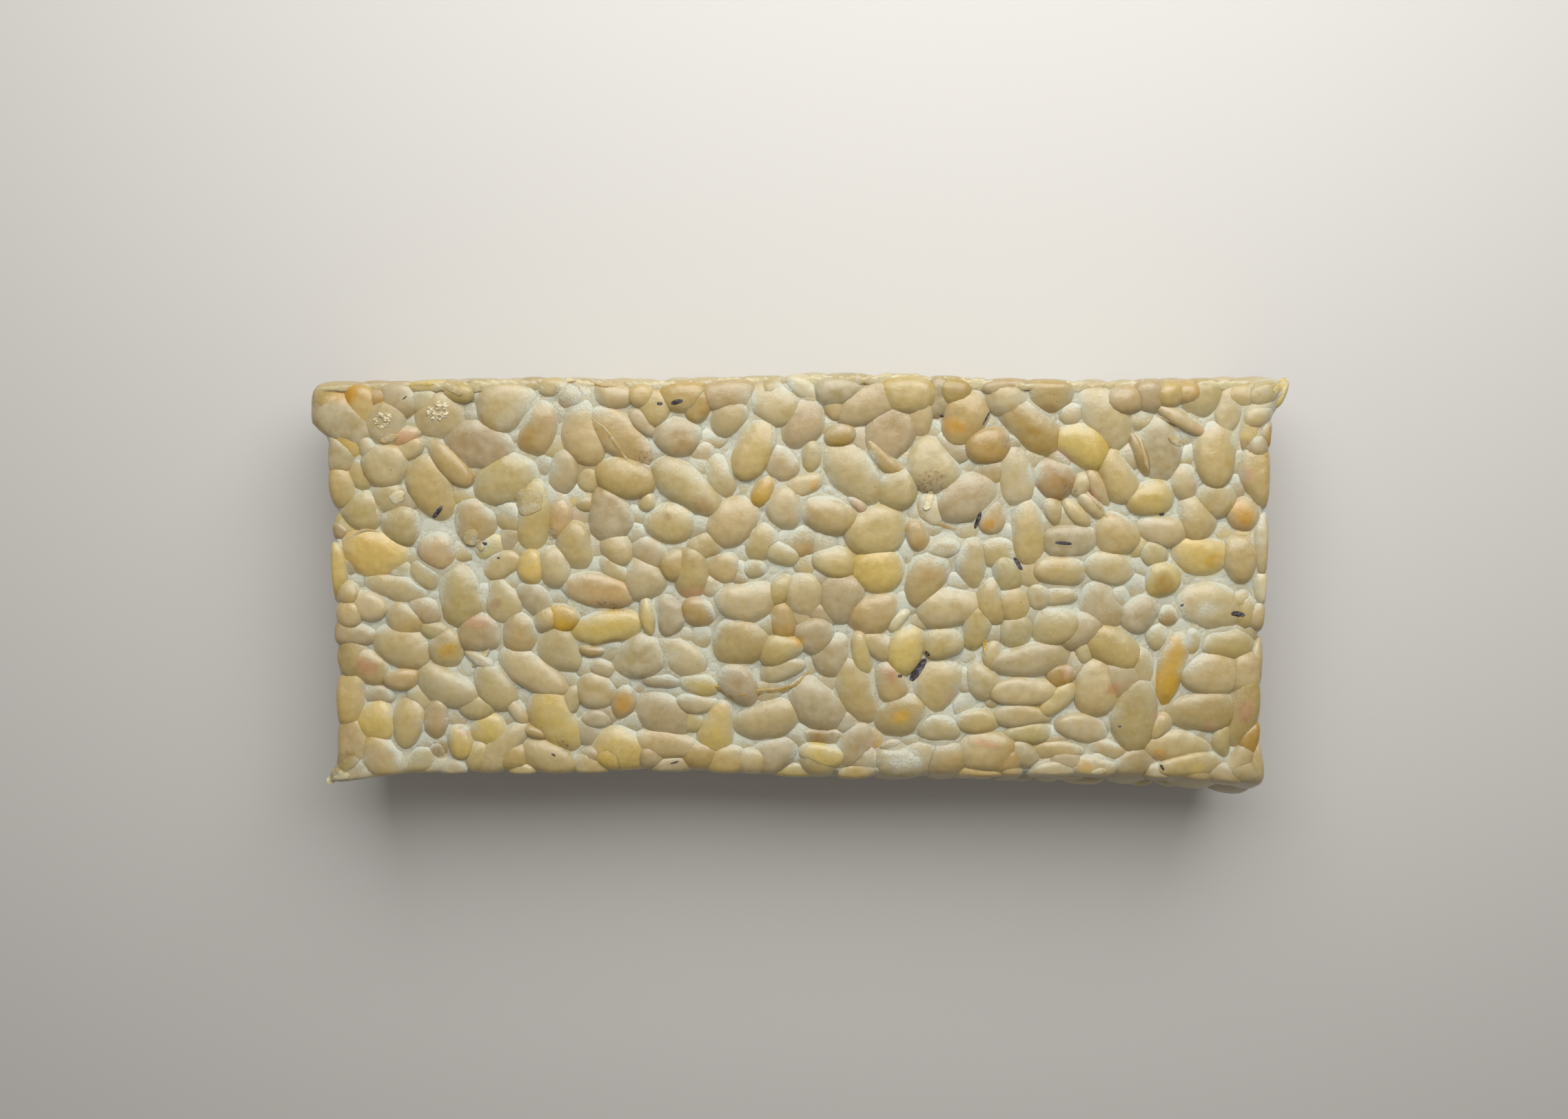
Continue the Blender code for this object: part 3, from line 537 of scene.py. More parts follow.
# Marks on the beans of the top, in mm as above: middle, length, width, turn and tone.
STAINS = [
    (-82.0, 33.8, 4.4, 4.2, 0, "orange"),
    (-71.5, 26.0, 4.6, 2.6, 20, "pink"),
    (-63.8, 35.0, 3.6, 1.8, 0, "orange"),
    (-49.6, 25.0, 3.2, 7.0, 160, "ochre"),
    (-49.0, 14.4, 4.6, 5.6, 80, "bright"),
    (-81.6, 20.4, 3.0, 2.4, 0, "peach"),
    (-27.4, 21.8, 4.4, 4.4, 0, "scar"),
    (-43.5, 34.4, 1.8, 1.6, 0, "scar"),
    (-23.8, 11.4, 1.6, 1.4, 0, "brown"),
    (-17.2, 13.4, 5.0, 3.0, 150, "brown"),
    (-40.8, 11.7, 2.4, 2.0, 0, "pink"),
    (-2.8, 21.9, 1.8, 1.6, 0, "ochre"),
    (-20.8, 24.4, 3.2, 2.4, 30, "brown"),
    (-10.2, 21.2, 2.6, 3.6, 70, "peach"),
    (3.2, 17.2, 2.6, 2.2, 0, "orange"),
    (15.0, 19.2, 2.2, 1.0, 0, "scar"),
    (24.0, 17.6, 6.0, 4.6, 20, "scar"),
    (18.4, 26.6, 1.8, 2.8, 0, "brown"),
    (10.7, 13.6, 3.6, 1.8, 140, "pink"),
    (32.2, 21.6, 3.4, 3.0, 0, "ochre"),
    (27.6, 28.4, 2.4, 6.0, 68, "orange"),
    (38.8, 24.6, 5.4, 2.8, 140, "scar"),
    (44.6, 31.0, 4.6, 2.2, 10, "brown"),
    (34.8, 10.1, 2.4, 2.0, 60, "orange"),
    (49.4, 16.4, 3.4, 2.4, 140, "scar"),
    (73.0, 27.4, 2.4, 1.6, 150, "pink"),
    (80.9, 24.4, 2.2, 2.4, 0, "brown"),
    (81.6, 19.0, 2.6, 2.2, 0, "pink"),
    (79.2, 9.2, 4.2, 1.8, 0, "pink"),
    (81.0, 12.2, 5.0, 3.4, 120, "orange"),
    (54.0, 15.0, 4.8, 1.9, 130, "pink"),
    (48.4, 22.6, 4.6, 1.7, 145, "pink"),
    (60.4, 24.6, 2.0, 1.6, 0, "peach"),
    (77.8, 8.6, 4.2, 3.4, 10, "yellow"),
    (-79.8, -19.6, 3.2, 2.6, 0, "peach"),
    (-79.6, -16.4, 4.4, 3.2, 150, "salmon"),
    (-64.4, -13.6, 3.2, 4.2, 100, "gold"),
    (-58.8, -8.2, 5.2, 2.4, 0, "salmon"),
    (-56.0, -4.8, 2.0, 3.2, 120, "brown"),
    (-62.0, -27.8, 3.2, 2.6, 95, "pink"),
    (-43.4, -31.0, 3.2, 2.2, 120, "scar"),
    (-83.6, -29.4, 3.0, 3.0, 0, "peach"),
    (-83.4, -33.0, 2.2, 1.8, 0, "brown"),
    (-78.4, -33.0, 3.0, 4.4, 40, "peach"),
    (-67.4, -31.6, 2.6, 3.2, 60, "scar"),
    (-43.8, -7.4, 5.2, 4.0, 175, "gold"),
    (-19.0, -2.8, 5.0, 2.6, 0, "pink"),
    (-34.4, -5.0, 6.6, 2.0, 170, "scar"),
    (-32.3, -23.0, 4.4, 3.2, 72, "orange"),
    (-34.0, -12.0, 5.0, 2.0, 5, "ochre"),
    (-7.8, -22.6, 2.2, 1.4, 0, "pink"),
    (0.0, -11.8, 2.6, 2.0, 0, "orange"),
    (-15.6, -9.6, 3.0, 5.0, 160, "ochre"),
    (-10.0, -15.6, 7.0, 2.2, 172, "ochre"),
    (26.8, 0.8, 3.0, 6.0, 70, "peach"),
    (16.8, -17.5, 3.8, 2.4, 120, "salmon"),
    (19.9, -11.6, 4.8, 4.0, 62, "yellow"),
    (28.4, -21.8, 3.2, 1.5, 45, "pink"),
    (31.4, -22.0, 2.6, 2.2, 0, "peach"),
    (13.6, -31.0, 4.2, 1.9, 95, "salmon"),
    (19.1, -25.6, 3.4, 2.8, 20, "gold"),
    (4.6, -29.4, 6.0, 2.4, 177, "scar"),
    (44.4, -3.6, 2.0, 1.8, 0, "ochre"),
    (52.6, -34.6, 3.4, 2.2, 172, "orange"),
    (66.3, -25.3, 2.4, 1.4, 0, "pink"),
    (76.2, -27.4, 1.9, 2.4, 0, "salmon"),
    (49.8, -17.0, 3.6, 1.2, 70, "salmon"),
    (58.4, -20.2, 3.4, 2.2, 35, "salmon"),
    (82.6, -24.4, 4.4, 3.0, 76, "salmon"),
    (66.8, -0.6, 4.4, 4.0, 90, "ochre"),
    (76.0, 3.4, 3.4, 2.8, 0, "gold"),
    (67.0, -33.0, 3.0, 3.0, 60, "orange"),
    (34.6, -30.6, 5.0, 1.4, 165, "pink"),
    (74.0, -35.4, 3.2, 2.2, 12, "yellow"),
]

# Dark scars and specks on the top: middle, length, width and turn.
HILA = [
    (-66.0, 12.2, 3.0, 0.83, 50),
    (-22.0, 32.3, 2.2, 0.90, 15),
    (32.8, 10.8, 3.4, 0.75, 75),
    (40.3, 2.8, 2.8, 0.75, 120),
    (48.4, 6.7, 3.0, 0.68, 175),
    (22.2, -16.9, 5.0, 1.40, 57),
    (80.6, -6.4, 2.6, 0.98, 170),
    (34.0, 29.2, 2.6, 0.38, 62),
    (18.8, -17.9, 0.9, 0.60, 0),
    (23.8, -13.8, 1.2, 0.60, 130),
    (66.3, 11.9, 1.0, 0.60, 0),
    (-25.1, 32.0, 1.0, 0.60, 0),
    (26.0, 29.7, 0.8, 0.45, 0),
    (-71.2, 33.0, 0.9, 0.25, 40),
    (67.5, -34.9, 1.2, 0.52, 120),
    (-45.4, -32.8, 0.9, 0.35, 150),
    (-55.0, 3.8, 0.6, 0.38, 0),
    (-57.6, 6.4, 1.0, 0.60, 0),
    (70.4, -4.8, 0.7, 0.38, 30),
    (-23.0, -34.4, 1.6, 0.35, 15),
    (59.4, -27.2, 0.5, 0.38, 0),
]

# Loose seed coats that stand up as ribbons: half width, tone, and the route along the top.
RIBBONS = [
    (0.80, "ochre", ((-18.0, -20.6), (-14.5, -20.4), (-11.5, -21.9), (-7.4, -21.2), (-3.4, -21.0),
                     (-0.6, -20.2), (1.4, -18.2), (2.2, -16.2))),
    (0.80, "peach", ((22.0, 15.4), (22.3, 12.2), (25.4, 10.0), (30.2, 8.6))),
    (0.60, "brown", ((-42.4, 36.0), (-39.0, 35.7), (-36.0, 34.8), (-33.0, 34.9))),
    (0.60, "yellow", ((-71.0, 36.0), (-67.0, 36.2), (-63.0, 36.0))),
    (0.45, "gold", ((34.9, -14.6), (34.5, -12.5), (34.4, -10.4))),
    (0.60, "tan", ((-38.2, 29.6), (-35.0, 27.0), (-31.8, 22.2), (-29.4, 20.4))),
    (0.60, "cream", ((-57.0, -12.8), (-58.8, -15.0), (-60.6, -16.6))),
    (0.60, "peach", ((61.4, 26.6), (62.4, 22.8), (63.6, 18.8))),
    (0.60, "cream", ((52.4, 16.0), (54.4, 13.4), (56.4, 11.2))),
    (0.55, "tan", ((-83.0, 6.6), (-79.6, 8.6), (-76.4, 8.4))),
    (0.50, "cream", ((64.6, 29.6), (68.2, 28.6), (72.0, 26.4))),
]

# Torn flakes of seed coat: middle, length, width, turn, how far they curl up, and tone.
FLAKES = [
    (-73.2, 15.0, 2.8, 2.2, 20, 0.30, "white"),
    (-74.2, 25.6, 3.2, 1.3, 200, 0.35, "peach"),
    (-60.0, 7.6, 3.2, 2.4, 250, 0.50, "pale"),
    (-58.6, 6.2, 2.2, 1.4, 300, 0.40, "cream"),
    (-49.2, 14.2, 4.4, 5.4, 100, 0.10, "cream"),
    (-62.4, 34.6, 3.8, 1.4, 335, 0.30, "pale"),
    (-76.6, 12.4, 1.6, 1.2, 60, 0.30, "white"),
    (23.8, 14.4, 3.2, 1.6, 250, 0.40, "white"),
    (-45.0, 8.4, 2.6, 1.4, 80, 0.30, "peach"),
    (68.4, 25.2, 3.0, 1.2, 150, 0.30, "cream"),
    (-87.2, -38.2, 3.0, 1.6, 210, 0.60, "white"),
    (-85.0, -38.9, 3.2, 1.2, 190, 0.50, "white"),
    (-88.0, -36.4, 1.8, 1.2, 160, 0.50, "pale"),
    (86.6, 35.0, 2.6, 1.4, 60, 0.40, "yellow"),
    (55.6, -36.6, 2.6, 1.2, 20, 0.30, "white"),
]

# Beans that have burst, whose crumbly inside shows: middle, length, width and turn.
BURST = [
    (-75.4, 28.8, 4.8, 3.9, 60),
    (-65.2, 30.6, 7.0, 5.2, 20),
]

# How the albedo of a tone compares with what is seen of it, and how the beans' colours vary: from bean to
# bean, and at a warmer end. Down the flanks below the crown they are painted darker and warmer: painted
# shade.
ALBEDO = np.array([0.770, 0.736, 0.602])
SHADE_VARIATION = 0.035
HUE_VARIATION = 0.012
WARM_END_AND_SHADE = np.array([0.87, 0.76, 0.48])
WARM_SIDE = (0.1, 1.0)
WARM_MOST = 0.5
FLANK_SHADE_STRENGTH = 0.26
FLANK_SHADE_DEPTH = (0.4 * MM, 2.2 * MM)

# How strong the marks are, how soft their edges, how deep they reach, and how much of a scar is even colour.
STAIN_STRENGTH = 0.85
STAIN_EDGE = (0.35, 1.5)
STAIN_REACH = 3.0 * MM
SPECKLED_TINT = 0.35

# The grey veil over whole beans, which depends on the tone.
VEILS = {
    "grey": 0.35, "white": 0.40, "pale": 0.15, "beige": 0.12, "olive": 0.08, "gold": -0.20, "yellow": -0.10,
}
VEIL_USUAL = 0.10
VEIL_VARIATION = 0.10

# The film of mycelium on the beans near the felt: how far up it reaches, how much of it there is over felt
# that hardly shows, and how much less on the sides that face the front, away from the light. So the film is
# painted whiter on the lit sides: painted light and shade.
FILM_DEPTH = 1.1 * MM
FILM_REACH = 2.5 * MM
FILM_LEAST = 0.75
FILM_SOFTENING = 5
FILM_OPEN = (0.0, 0.5)
FILM_PAINTED_SHADE = 0.65
FILM_SHADE_SIDE = (-0.2, 0.7)

# The sides of the beans that catch the light.
GLINT_SIDE = (0.05, 0.55)

# Patches that lie on the top: how square they are, the waves of their ragged edges, and how full and how
# high they lie. Heights of the top are taken on a grid.
HEIGHT_CELL = 0.35 * MM
PATCH_SQUARE = 2.5
RAGGED_WAVES = (2, 3, 5, 9)
PATCH_FULLNESS = 0.7
PATCH_LIFT = 0.2

# Where the waves of ribbons and of the lip may begin, in radians.
PHASES = (0.0, 6.0)

# Ribbons of skin. Heights, sinking and wobble are shares of the half width.
RIBBON_STEP = 0.4 * MM
RIBBON_SIDES = 10
RIBBON_ENDS = (0.02, 0.98)
RIBBON_TAPER = 0.4
RIBBON_WAVE = 9.0
RIBBON_WOBBLE = 0.12
RIBBON_HEIGHT = 0.45
RIBBON_LEAN = 0.4
RIBBON_SUNK = 0.35
RIBBON_SMOOTHING = 6

# The lip along the back edge: where it runs, its half width and how that varies, and where it lies.
LIP_FROM = -84.0 * MM
LIP_TO = 83.0 * MM
LIP_STEP = 0.22 * MM
LIP_HALF = 0.95 * MM
LIP_LEAST = 0.25 * MM
LIP_THICK = 0.22 * MM
LIP_DROP = 1.6 * MM
LIP_INSET = 1.35 * MM
LIP_WAVE = 0.4 * MM
LIP_RAGGED = 0.14
LIP_RATES = (190.0, 430.0, 1100.0, 2300.0, 3700.0)
LIP_SIDE = np.array([0.0, 0.95, 0.10])
LIP_TAPER = 8.0
LIP_END = 0.05

# Crumbs: a thin patch broken up at two sizes, which goes under the bean's skin towards its edge.
CRUMB_THICK = 0.10
CRUMB_RAGGED = 0.09
CRUMB_SIZES = (1.10 * MM, 0.45 * MM)
CRUMB_HEIGHT = 0.50 * MM
CRUMB_MIDDLE = 1.12
CRUMB_SINK = 0.55 * MM
CRUMB_SINK_FROM = (0.45, 1.0)
# Painted shade: between which distances from a crumb's middle it goes from pale on top to dark in the
# crevices.
CRUMB_CREVICE_SHADE = (0.55, 1.35)
CRUMB_MESH = (110, 60)

# Scars and flakes: segments and rings, thickness in mm, and how ragged they are.
SCAR_MESH = (16, 10)
SCAR_THICK = 0.12
SCAR_RAGGED = 0.05
FLAKE_MESH = (40, 14)
FLAKE_THICK = 0.16
FLAKE_RAGGED = 0.10

# Roughness and subsurface weight of each material. That of the beans is how rough they are where bare.
SURFACES = {
    "cream_beans": (0.42, 0.60),
    "straw_beans": (0.40, 0.60),
    "golden_beans": (0.38, 0.60),
    "grey_beans": (0.46, 0.60),
    "white_mycelium": (0.90, 0.40),
    "loose_seed_coats": (0.32, 0.30),
    "bean_crumb": (0.75, 0.60),
    "dark_scars": (0.45, 0.0),
}
SUBSURFACE_REACH = 0.32 * MM
SUBSURFACE_SPREAD = (1.0, 0.97, 0.92)

# Patches: the size in mm and the detail of their noise, and between which values of it they go from 0 to 1,
# or from and to the two numbers that follow.
PATCHES = {
    "blotch": (4.5, 2.0, 0.35, 0.65),
    "mottle": (1.1, 4.0, 0.30, 0.70),
    "grain": (0.22, 3.0, 0.30, 0.70),
    "speckled": (0.5, 4.0, 0.50, 0.62),
    "veil": (2.4, 3.0, 0.30, 0.70),
    "film_and_painted_light": (8.0, 2.0, 0.35, 0.65, 0.6, 1.3),
    "glint": (0.26, 3.0, 0.58, 0.70),
    "felt_wide": (6.0, 3.0, 0.35, 0.65),
    "felt_fine": (0.7, 5.0, 0.30, 0.75, 0.0, 0.5),
    "coat_mottle": (0.5, 3.0, 0.30, 0.70),
    "coat_dust": (1.2, 4.0, 0.40, 0.75, 0.0, 0.55),
    "crumb": (0.35, 4.0, 0.35, 0.65),
    "scar": (0.5, 3.0, 0.45, 0.70),
}

# Layers, which multiply a colour: by the first where the patches of that name are 0, by the second at 1.
MOTTLE = ((0.94, 0.92, 0.88, 1), (1.04, 1.04, 1.05, 1))
LAYERS = {
    "blotch": ((1.00, 0.975, 0.90, 1), (1.02, 1.02, 1.02, 1)),
    "mottle": MOTTLE,
    "grain": ((0.985, 0.98, 0.97, 1), (1.01, 1.01, 1.01, 1)),
    "coat_mottle": MOTTLE,
    "crumb": ((1.12, 1.15, 1.28, 1), (1.32, 1.37, 1.60, 1)),
}

# Bumps: the size in mm and the detail of their noise, and their height in mm. The felt's lumps fade out with
# the felt.
BUMPS = {
    "dimples": (3.5, 1.0, 0.30),
    "mottle": (1.1, 4.0, 0.06),
    "wet_coat": (0.5, 4.0, 0.12),
    "felt": (0.3, 6.0, 0.08),
    "coat": (0.6, 4.0, 0.15),
    "crumb": (0.3, 5.0, 0.15),
    "scar": (0.3, 3.0, 0.10),
}
LUMP_NOISE = (1.3, 4.0)
LUMP_HEIGHT = 0.30

# Specks: how far apart they are, their radius, the size of the patches that they keep to, all in mm, and
# their strength. Then their outer edge in radii, and where the patches begin and are full.
BEAN_SPECKS = (1.7, 0.10, 7.0, 0.70)
FELT_SPECKS = (1.1, 0.10, 5.0, 0.75)
SPECK_EDGE = 1.6
SPECK_PATCHES = (0.55, 0.62)

# The film on the beans: an even milky layer, and frost that breaks out where the film and fine noise add up
# to enough. Frost also raises and roughens the skin. Both are real fuzz, but they are whiter on the sides
# that face the light, which is painted light.
MILKY = 0.80
FROST_NOISE = (0.45, 5.0)
FROST_RANGE = (0.82, 1.35, 0.0, 0.85)
FROST_HEIGHT = 0.06
FROST_FULL = 0.8
FROST_ROUGHNESS = 0.75

GLINT_STRENGTH = 0.38
WET_WEIGHT = 0.52
WET_ROUGHNESS = 0.22
SHEEN_WEIGHT = 0.3
SHEEN_ROUGHNESS = 0.5

# Lights: place, size in metres, power and colour.
LIGHTS = {
    "window": ((0.03, 0.21, 0.25), (0.38, 0.27), 1.47, (1.0, 0.99, 0.97)),
    "ceiling": ((-0.1, -0.1, 1.3), (1.4, 1.4), 1.25, (1.0, 0.97, 0.93)),
}
WORLD_COLOUR = (1.0, 0.95, 0.87, 1)
WORLD_STRENGTH = 0.175
FLOOR_COLOUR = (0.60, 0.59, 0.57, 1)
FLOOR_ROUGHNESS = 0.8
FLOOR_SIZE = 4.0
FLOOR_GAP = 0.2 * MM

# The camera: the width that it sees in the plane of the top, its angle of view, its tilt and where it looks.
VIEW_WIDTH = 285.5 * MM
VIEW_ANGLE = 55.0
VIEW_TILT = 6.4
VIEW_MIDDLE = np.array([-2.6, 3.8]) * MM


def smoothstep(value, low, high):
    share = np.clip((value - low) / (high - low), 0.0, 1.0)
    return share * share * (3.0 - 2.0 * share)


def linear(colour):
    """An sRGB colour from 0 to 255, as the linear numbers that shaders take."""
    colour = np.asarray(colour, float) / 255
    return np.where(colour <= 0.04045, colour / 12.92, ((colour + 0.055) / 1.055) ** 2.4)


def tone_colour(tone):
    return linear(TONES[tone]) * ALBEDO


def blend(first, second, share):
    return first + share * (second - first)


def varied(random, variation, shape):
    """Random factors about 1. Their spread, the least and the most of them are given."""
    spread, least, most = variation
    return random.normal(1.0, spread, shape).clip(least, most)


def random_tones(random, count):
    tones, weights = zip(*STREWN_TONES.items())
    return random.choice(tones, count, p=np.array(weights) / sum(weights))


def unit(vectors):
    return vectors / np.maximum(np.linalg.norm(vectors, axis=-1, keepdims=True), 1e-12)


def square_to(vectors, normals):
    """Vectors made square to the normals, of length one."""
    return unit(vectors - (vectors * normals).sum(axis=-1, keepdims=True) * normals)


# ---------------------------------------------------------------------------------------- the rounded box


def rounded(points):
    """Points on the sharp box, brought onto the box with rounded edges, and the surface normal at each."""
    core = np.clip(points - BOX_MIDDLE, EDGE_RADIUS - HALF_BOX, HALF_BOX - EDGE_RADIUS) + BOX_MIDDLE
    normals = unit(points - core)
    return core + EDGE_RADIUS * normals, normals


def snapped(points):
    """Points near the block, moved straight out onto the nearest side of the sharp box."""
    local = np.clip(points - BOX_MIDDLE, -HALF_BOX, HALF_BOX)
    nearest = (HALF_BOX - np.abs(local)).argmin(axis=1)
    rows = np.arange(len(local))
    local[rows, nearest] = np.where(local[rows, nearest] < 0, -1, 1) * HALF_BOX[nearest]
    return local + BOX_MIDDLE


def bag_form(points):
    """The rounded box as the bag leaves it: swollen sides, ears at the corners and long, shallow waves."""
    x, y, z = points.T.copy()
    height = z / THICKNESS
    along = x / (LENGTH / 2)
    across = y / (WIDTH / 2)

    swell = SIDE_SWELL * np.cos(math.pi / 2 * np.clip((height - SWELL_HEIGHT) / SWELL_REACH, -1, 1))
    swell -= FOOT_DRAW_IN * (1 - smoothstep(height, 0.0, FOOT_HEIGHT))
    wave = sum(depth * np.sin(rate * x + phase) for depth, rate, phase in OUTLINE_WAVES)
    lean = FRONT_BULGE * smoothstep(x, FRONT_BULGE_FROM, FRONT_BULGE_TO)
    lean *= np.exp(-(((height - FRONT_BULGE_HEIGHT) / FRONT_BULGE_REACH) ** 2))

    new_x = x + swell * along * np.abs(along)
    new_y = y + (swell + wave) * across * np.abs(across)
    new_y -= (lean + FRONT_FLARE * along**4) * smoothstep(-across, *FRONT_SIDE)
    for side_x, side_y, out_x, out_y, full, gone in EARS.values():
        near_x = smoothstep(side_x * x, LENGTH / 2 - EAR_REACH_X, LENGTH / 2)
        near_y = smoothstep(side_y * y, WIDTH / 2 - gone, WIDTH / 2 - full)
        pull = near_x * near_y * np.exp(-(((height - EAR_HEIGHT) / EAR_SPREAD) ** 2))
        new_x += side_x * out_x * pull
        new_y += side_y * out_y * pull

    rise = sum(depth * np.sin(kx * x + phase) * np.cos(ky * y) for depth, kx, phase, ky in TOP_WAVES)
    return np.column_stack((new_x, new_y, z + height * rise))


def unformed_top(x, y):
    """Where on the plain box's top the bag's form takes to these places."""
    wanted = np.column_stack((x, y))
    points = np.column_stack((x, y, np.full(len(x), THICKNESS)))
    for _ in range(UNFORM_STEPS):
        points[:, :2] += wanted - bag_form(points)[:, :2]
    inside = HALF_BOX[:2] - RIM_INSET
    points[:, :2] = np.clip(points[:, :2], -inside, inside)
    return points


def skin_grid(cell):
    """The closed grid of the box's skin: its points, their normals, and its faces as rows of four."""
    cells = np.round(2 * HALF_BOX / cell).astype(int)
    place = np.indices(cells + 1)
    on_skin = np.zeros(cells + 1, bool)
    for axis, count in enumerate(cells):
        on_skin |= (place[axis] == 0) | (place[axis] == count)
    index = np.full(cells + 1, -1)
    index[on_skin] = np.arange(on_skin.sum())
    points = (np.argwhere(on_skin) / cells * 2 - 1) * HALF_BOX + BOX_MIDDLE
    faces = []
    for axis in range(3):
        for end in (0, -1):
            side = np.take(index, end, axis=axis)
            corners = (side[:-1, :-1], side[1:, :-1], side[1:, 1:], side[:-1, 1:])
            quads = np.stack(corners, axis=-1).reshape(-1, 4)
            faces.append(quads[:, ::-1] if (end == 0) != (axis == 1) else quads)
    points, normals = rounded(points)
    return points, normals, np.concatenate(faces)


def neighbours(count, faces):
    """For each point of a closed grid, the points next to it, with itself where it has fewer than others."""
    pairs = np.concatenate([faces[:, [a, (a + 1) % 4]] for a in range(4)])
    pairs = np.unique(np.concatenate((pairs, pairs[:, ::-1])), axis=0)
    first = np.searchsorted(pairs[:, 0], np.arange(count))
    place = np.arange(len(pairs)) - first[pairs[:, 0]]
    table = np.repeat(np.arange(count)[:, None], place.max() + 1, axis=1)
    table[pairs[:, 0], place] = pairs[:, 1]
    return table


SKIN, SKIN_NORMALS, SKIN_FACES = skin_grid(SKIN_CELL)
NEIGHBOURS = neighbours(len(SKIN), SKIN_FACES)
PACK_SKIN, PACK_NORMALS, _ = skin_grid(PACK_CELL)

# How far the formed skin is from lying centred over the origin, on the floor.
FORMED_SKIN = bag_form(SKIN)
SHIFT = np.append((FORMED_SKIN.min(axis=0) + FORMED_SKIN.max(axis=0))[:2] / 2, FORMED_SKIN[:, 2].min())


def placed(points):
    """Points of the plain box, where the bag's form takes them in the row frame."""
    return bag_form(points) - SHIFT


def softened(values, steps):
    """Values on the skin's grid, each step halfway to the mean of their neighbours."""
    for _ in range(steps):
        values = (values + values[NEIGHBOURS].mean(axis=1)) / 2
    return values


# ------------------------------------------------------------------------------------------ laying beans


def laid_beans(random):
    """The beans of the top, as the two tables lay them."""
    rows = TOP_BEANS + FLAT_BEANS
    x, y, length, width, turn, sunk = np.array([row[:6] for row in rows]).T
    count = len(rows)
    turn = np.radians(turn)
    normal = unit(np.column_stack((random.normal(0, TILT, (count, 2)), np.ones(count))))
    along = square_to(np.column_stack((np.cos(turn), np.sin(turn), np.zeros(count))), normal)
    thick = np.maximum(THICK_SHARE * width * MM, LEAST_THICK)
    pressed = np.full(count, PRESSED)
    pressed[len(TOP_BEANS):] = PRESSED_FLAT
    return {
        "site": unformed_top(x * MM, y * MM),
        "normal": normal,
        "along": along,
        "half": np.column_stack((length * MM / 2 * LAID_GROWTH, width * MM / 2 * LAID_GROWTH, thick)),
        "pressed": pressed,
        "sunk": (sunk + np.abs(random.normal(0, SUNK_VARIATION, count))) * MM,
        "tone": np.array([row[6] for row in rows]),
    }


def metric(beans):
    """For each bean, the rows that turn an offset into its own axes, in half sizes."""
    across = np.cross(beans["normal"], beans["along"])
    axes = np.stack((beans["along"], across, beans["normal"]), axis=1)
    return axes / beans["half"][:, :, None]


def reaches(beans, points, near):
    """How far each point is from each of its near beans, in the bean's own half sizes, squared."""
    offset = points[:, None] - beans["site"][near]
    return (np.einsum("scij,scj->sci", metric(beans)[near], offset) ** 2).sum(axis=2)


def nearest_beans(beans, points):
    apart = ((points[:, None] - beans["site"][None]) ** 2).sum(axis=2)
    return np.argpartition(apart, CANDIDATES, axis=1)[:, :CANDIDATES]


def strewn_beans(random, laid):
    """Beans strewn where no laid one lies, about as many as fill the skin there."""
    is_open = reaches(laid, PACK_SKIN, nearest_beans(laid, PACK_SKIN)).min(axis=1) > OPEN_REACH
    box_area = 8 * sum(HALF_BOX[a] * HALF_BOX[b] for a, b in ((0, 1), (0, 2), (1, 2)))
    bean_area = math.pi * BEAN_HALF[0] * BEAN_HALF[1]
    count = int(STREWN_COVER * is_open.mean() * box_area / bean_area)
    pick = random.choice(np.flatnonzero(is_open), count, replace=False)
    size = varied(random, STREWN_SIZES, (count, 1))
    stretch = varied(random, STREWN_STRETCH, (count, 1))
    normal = PACK_NORMALS[pick]
    usual_sunk, most_sunk = STREWN_SUNK
    return {
        "site": PACK_SKIN[pick],
        "normal": normal,
        "along": square_to(random.normal(size=(count, 3)), normal),
        "half": BEAN_HALF * size * np.hstack((stretch, 1 / stretch, np.ones((count, 1)))),
        "pressed": np.full(count, PRESSED),
        "sunk": np.minimum(random.exponential(usual_sunk, count), most_sunk) * MM,
        "tone": random_tones(random, count),
    }


def pack(beans, fixed):
    """Lets the strewn beans share the skin that the laid ones leave: each moves to the middle of its share,
    and turns and grows to fit it."""
    count = len(beans["site"])
    free = np.arange(count) >= fixed
    first_half = beans["half"].copy()
    for step in range(PACK_STEPS):
        if step % LOOK_UP_EVERY == 0:
            near = nearest_beans(beans, PACK_SKIN)
        reach = reaches(beans, PACK_SKIN, near)
        owner = near[np.arange(len(PACK_SKIN)), reach.argmin(axis=1)]
        shares = np.bincount(owner, minlength=count).astype(float)
        middle = np.stack([np.bincount(owner, PACK_SKIN[:, k], count) for k in range(3)], axis=1)
        middle /= np.maximum(shares, 1)[:, None]
        moved = beans["site"] + PACK_RATE * (middle - beans["site"])
        site, normal = rounded(snapped(moved))

        # The share's own long direction, from how its samples spread.
        spread = np.zeros((count, 3, 3))
        away = PACK_SKIN - site[owner]
        away -= (away * PACK_NORMALS).sum(axis=1, keepdims=True) * PACK_NORMALS
        np.add.at(spread, owner, away[:, :, None] * away[:, None, :])
        long_way = square_to(np.linalg.eigh(spread)[1][:, :, 2], normal)
        sign = np.sign((long_way * beans["along"]).sum(axis=1, keepdims=True) + 1e-9)
        along = square_to(beans["along"] + TURN_RATE * sign * long_way, normal)

        wanted = shares * PACK_CELL**2 / (math.pi * beans["half"][:, 0] * beans["half"][:, 1])
        grow = np.clip(wanted, *GROW_LIMITS) ** GROW_RATE
        grown = beans["half"] * np.column_stack((grow, grow, grow**THICK_GROW))
        grown = np.clip(grown, SIZE_LIMITS[0] * first_half, SIZE_LIMITS[1] * first_half)
        moves = (free & (shares > LEAST_SAMPLES))[:, None]
        for key, value in (("site", site), ("normal", normal), ("along", along), ("half", grown)):
            beans[key] = np.where(moves, value, beans[key])
    return beans


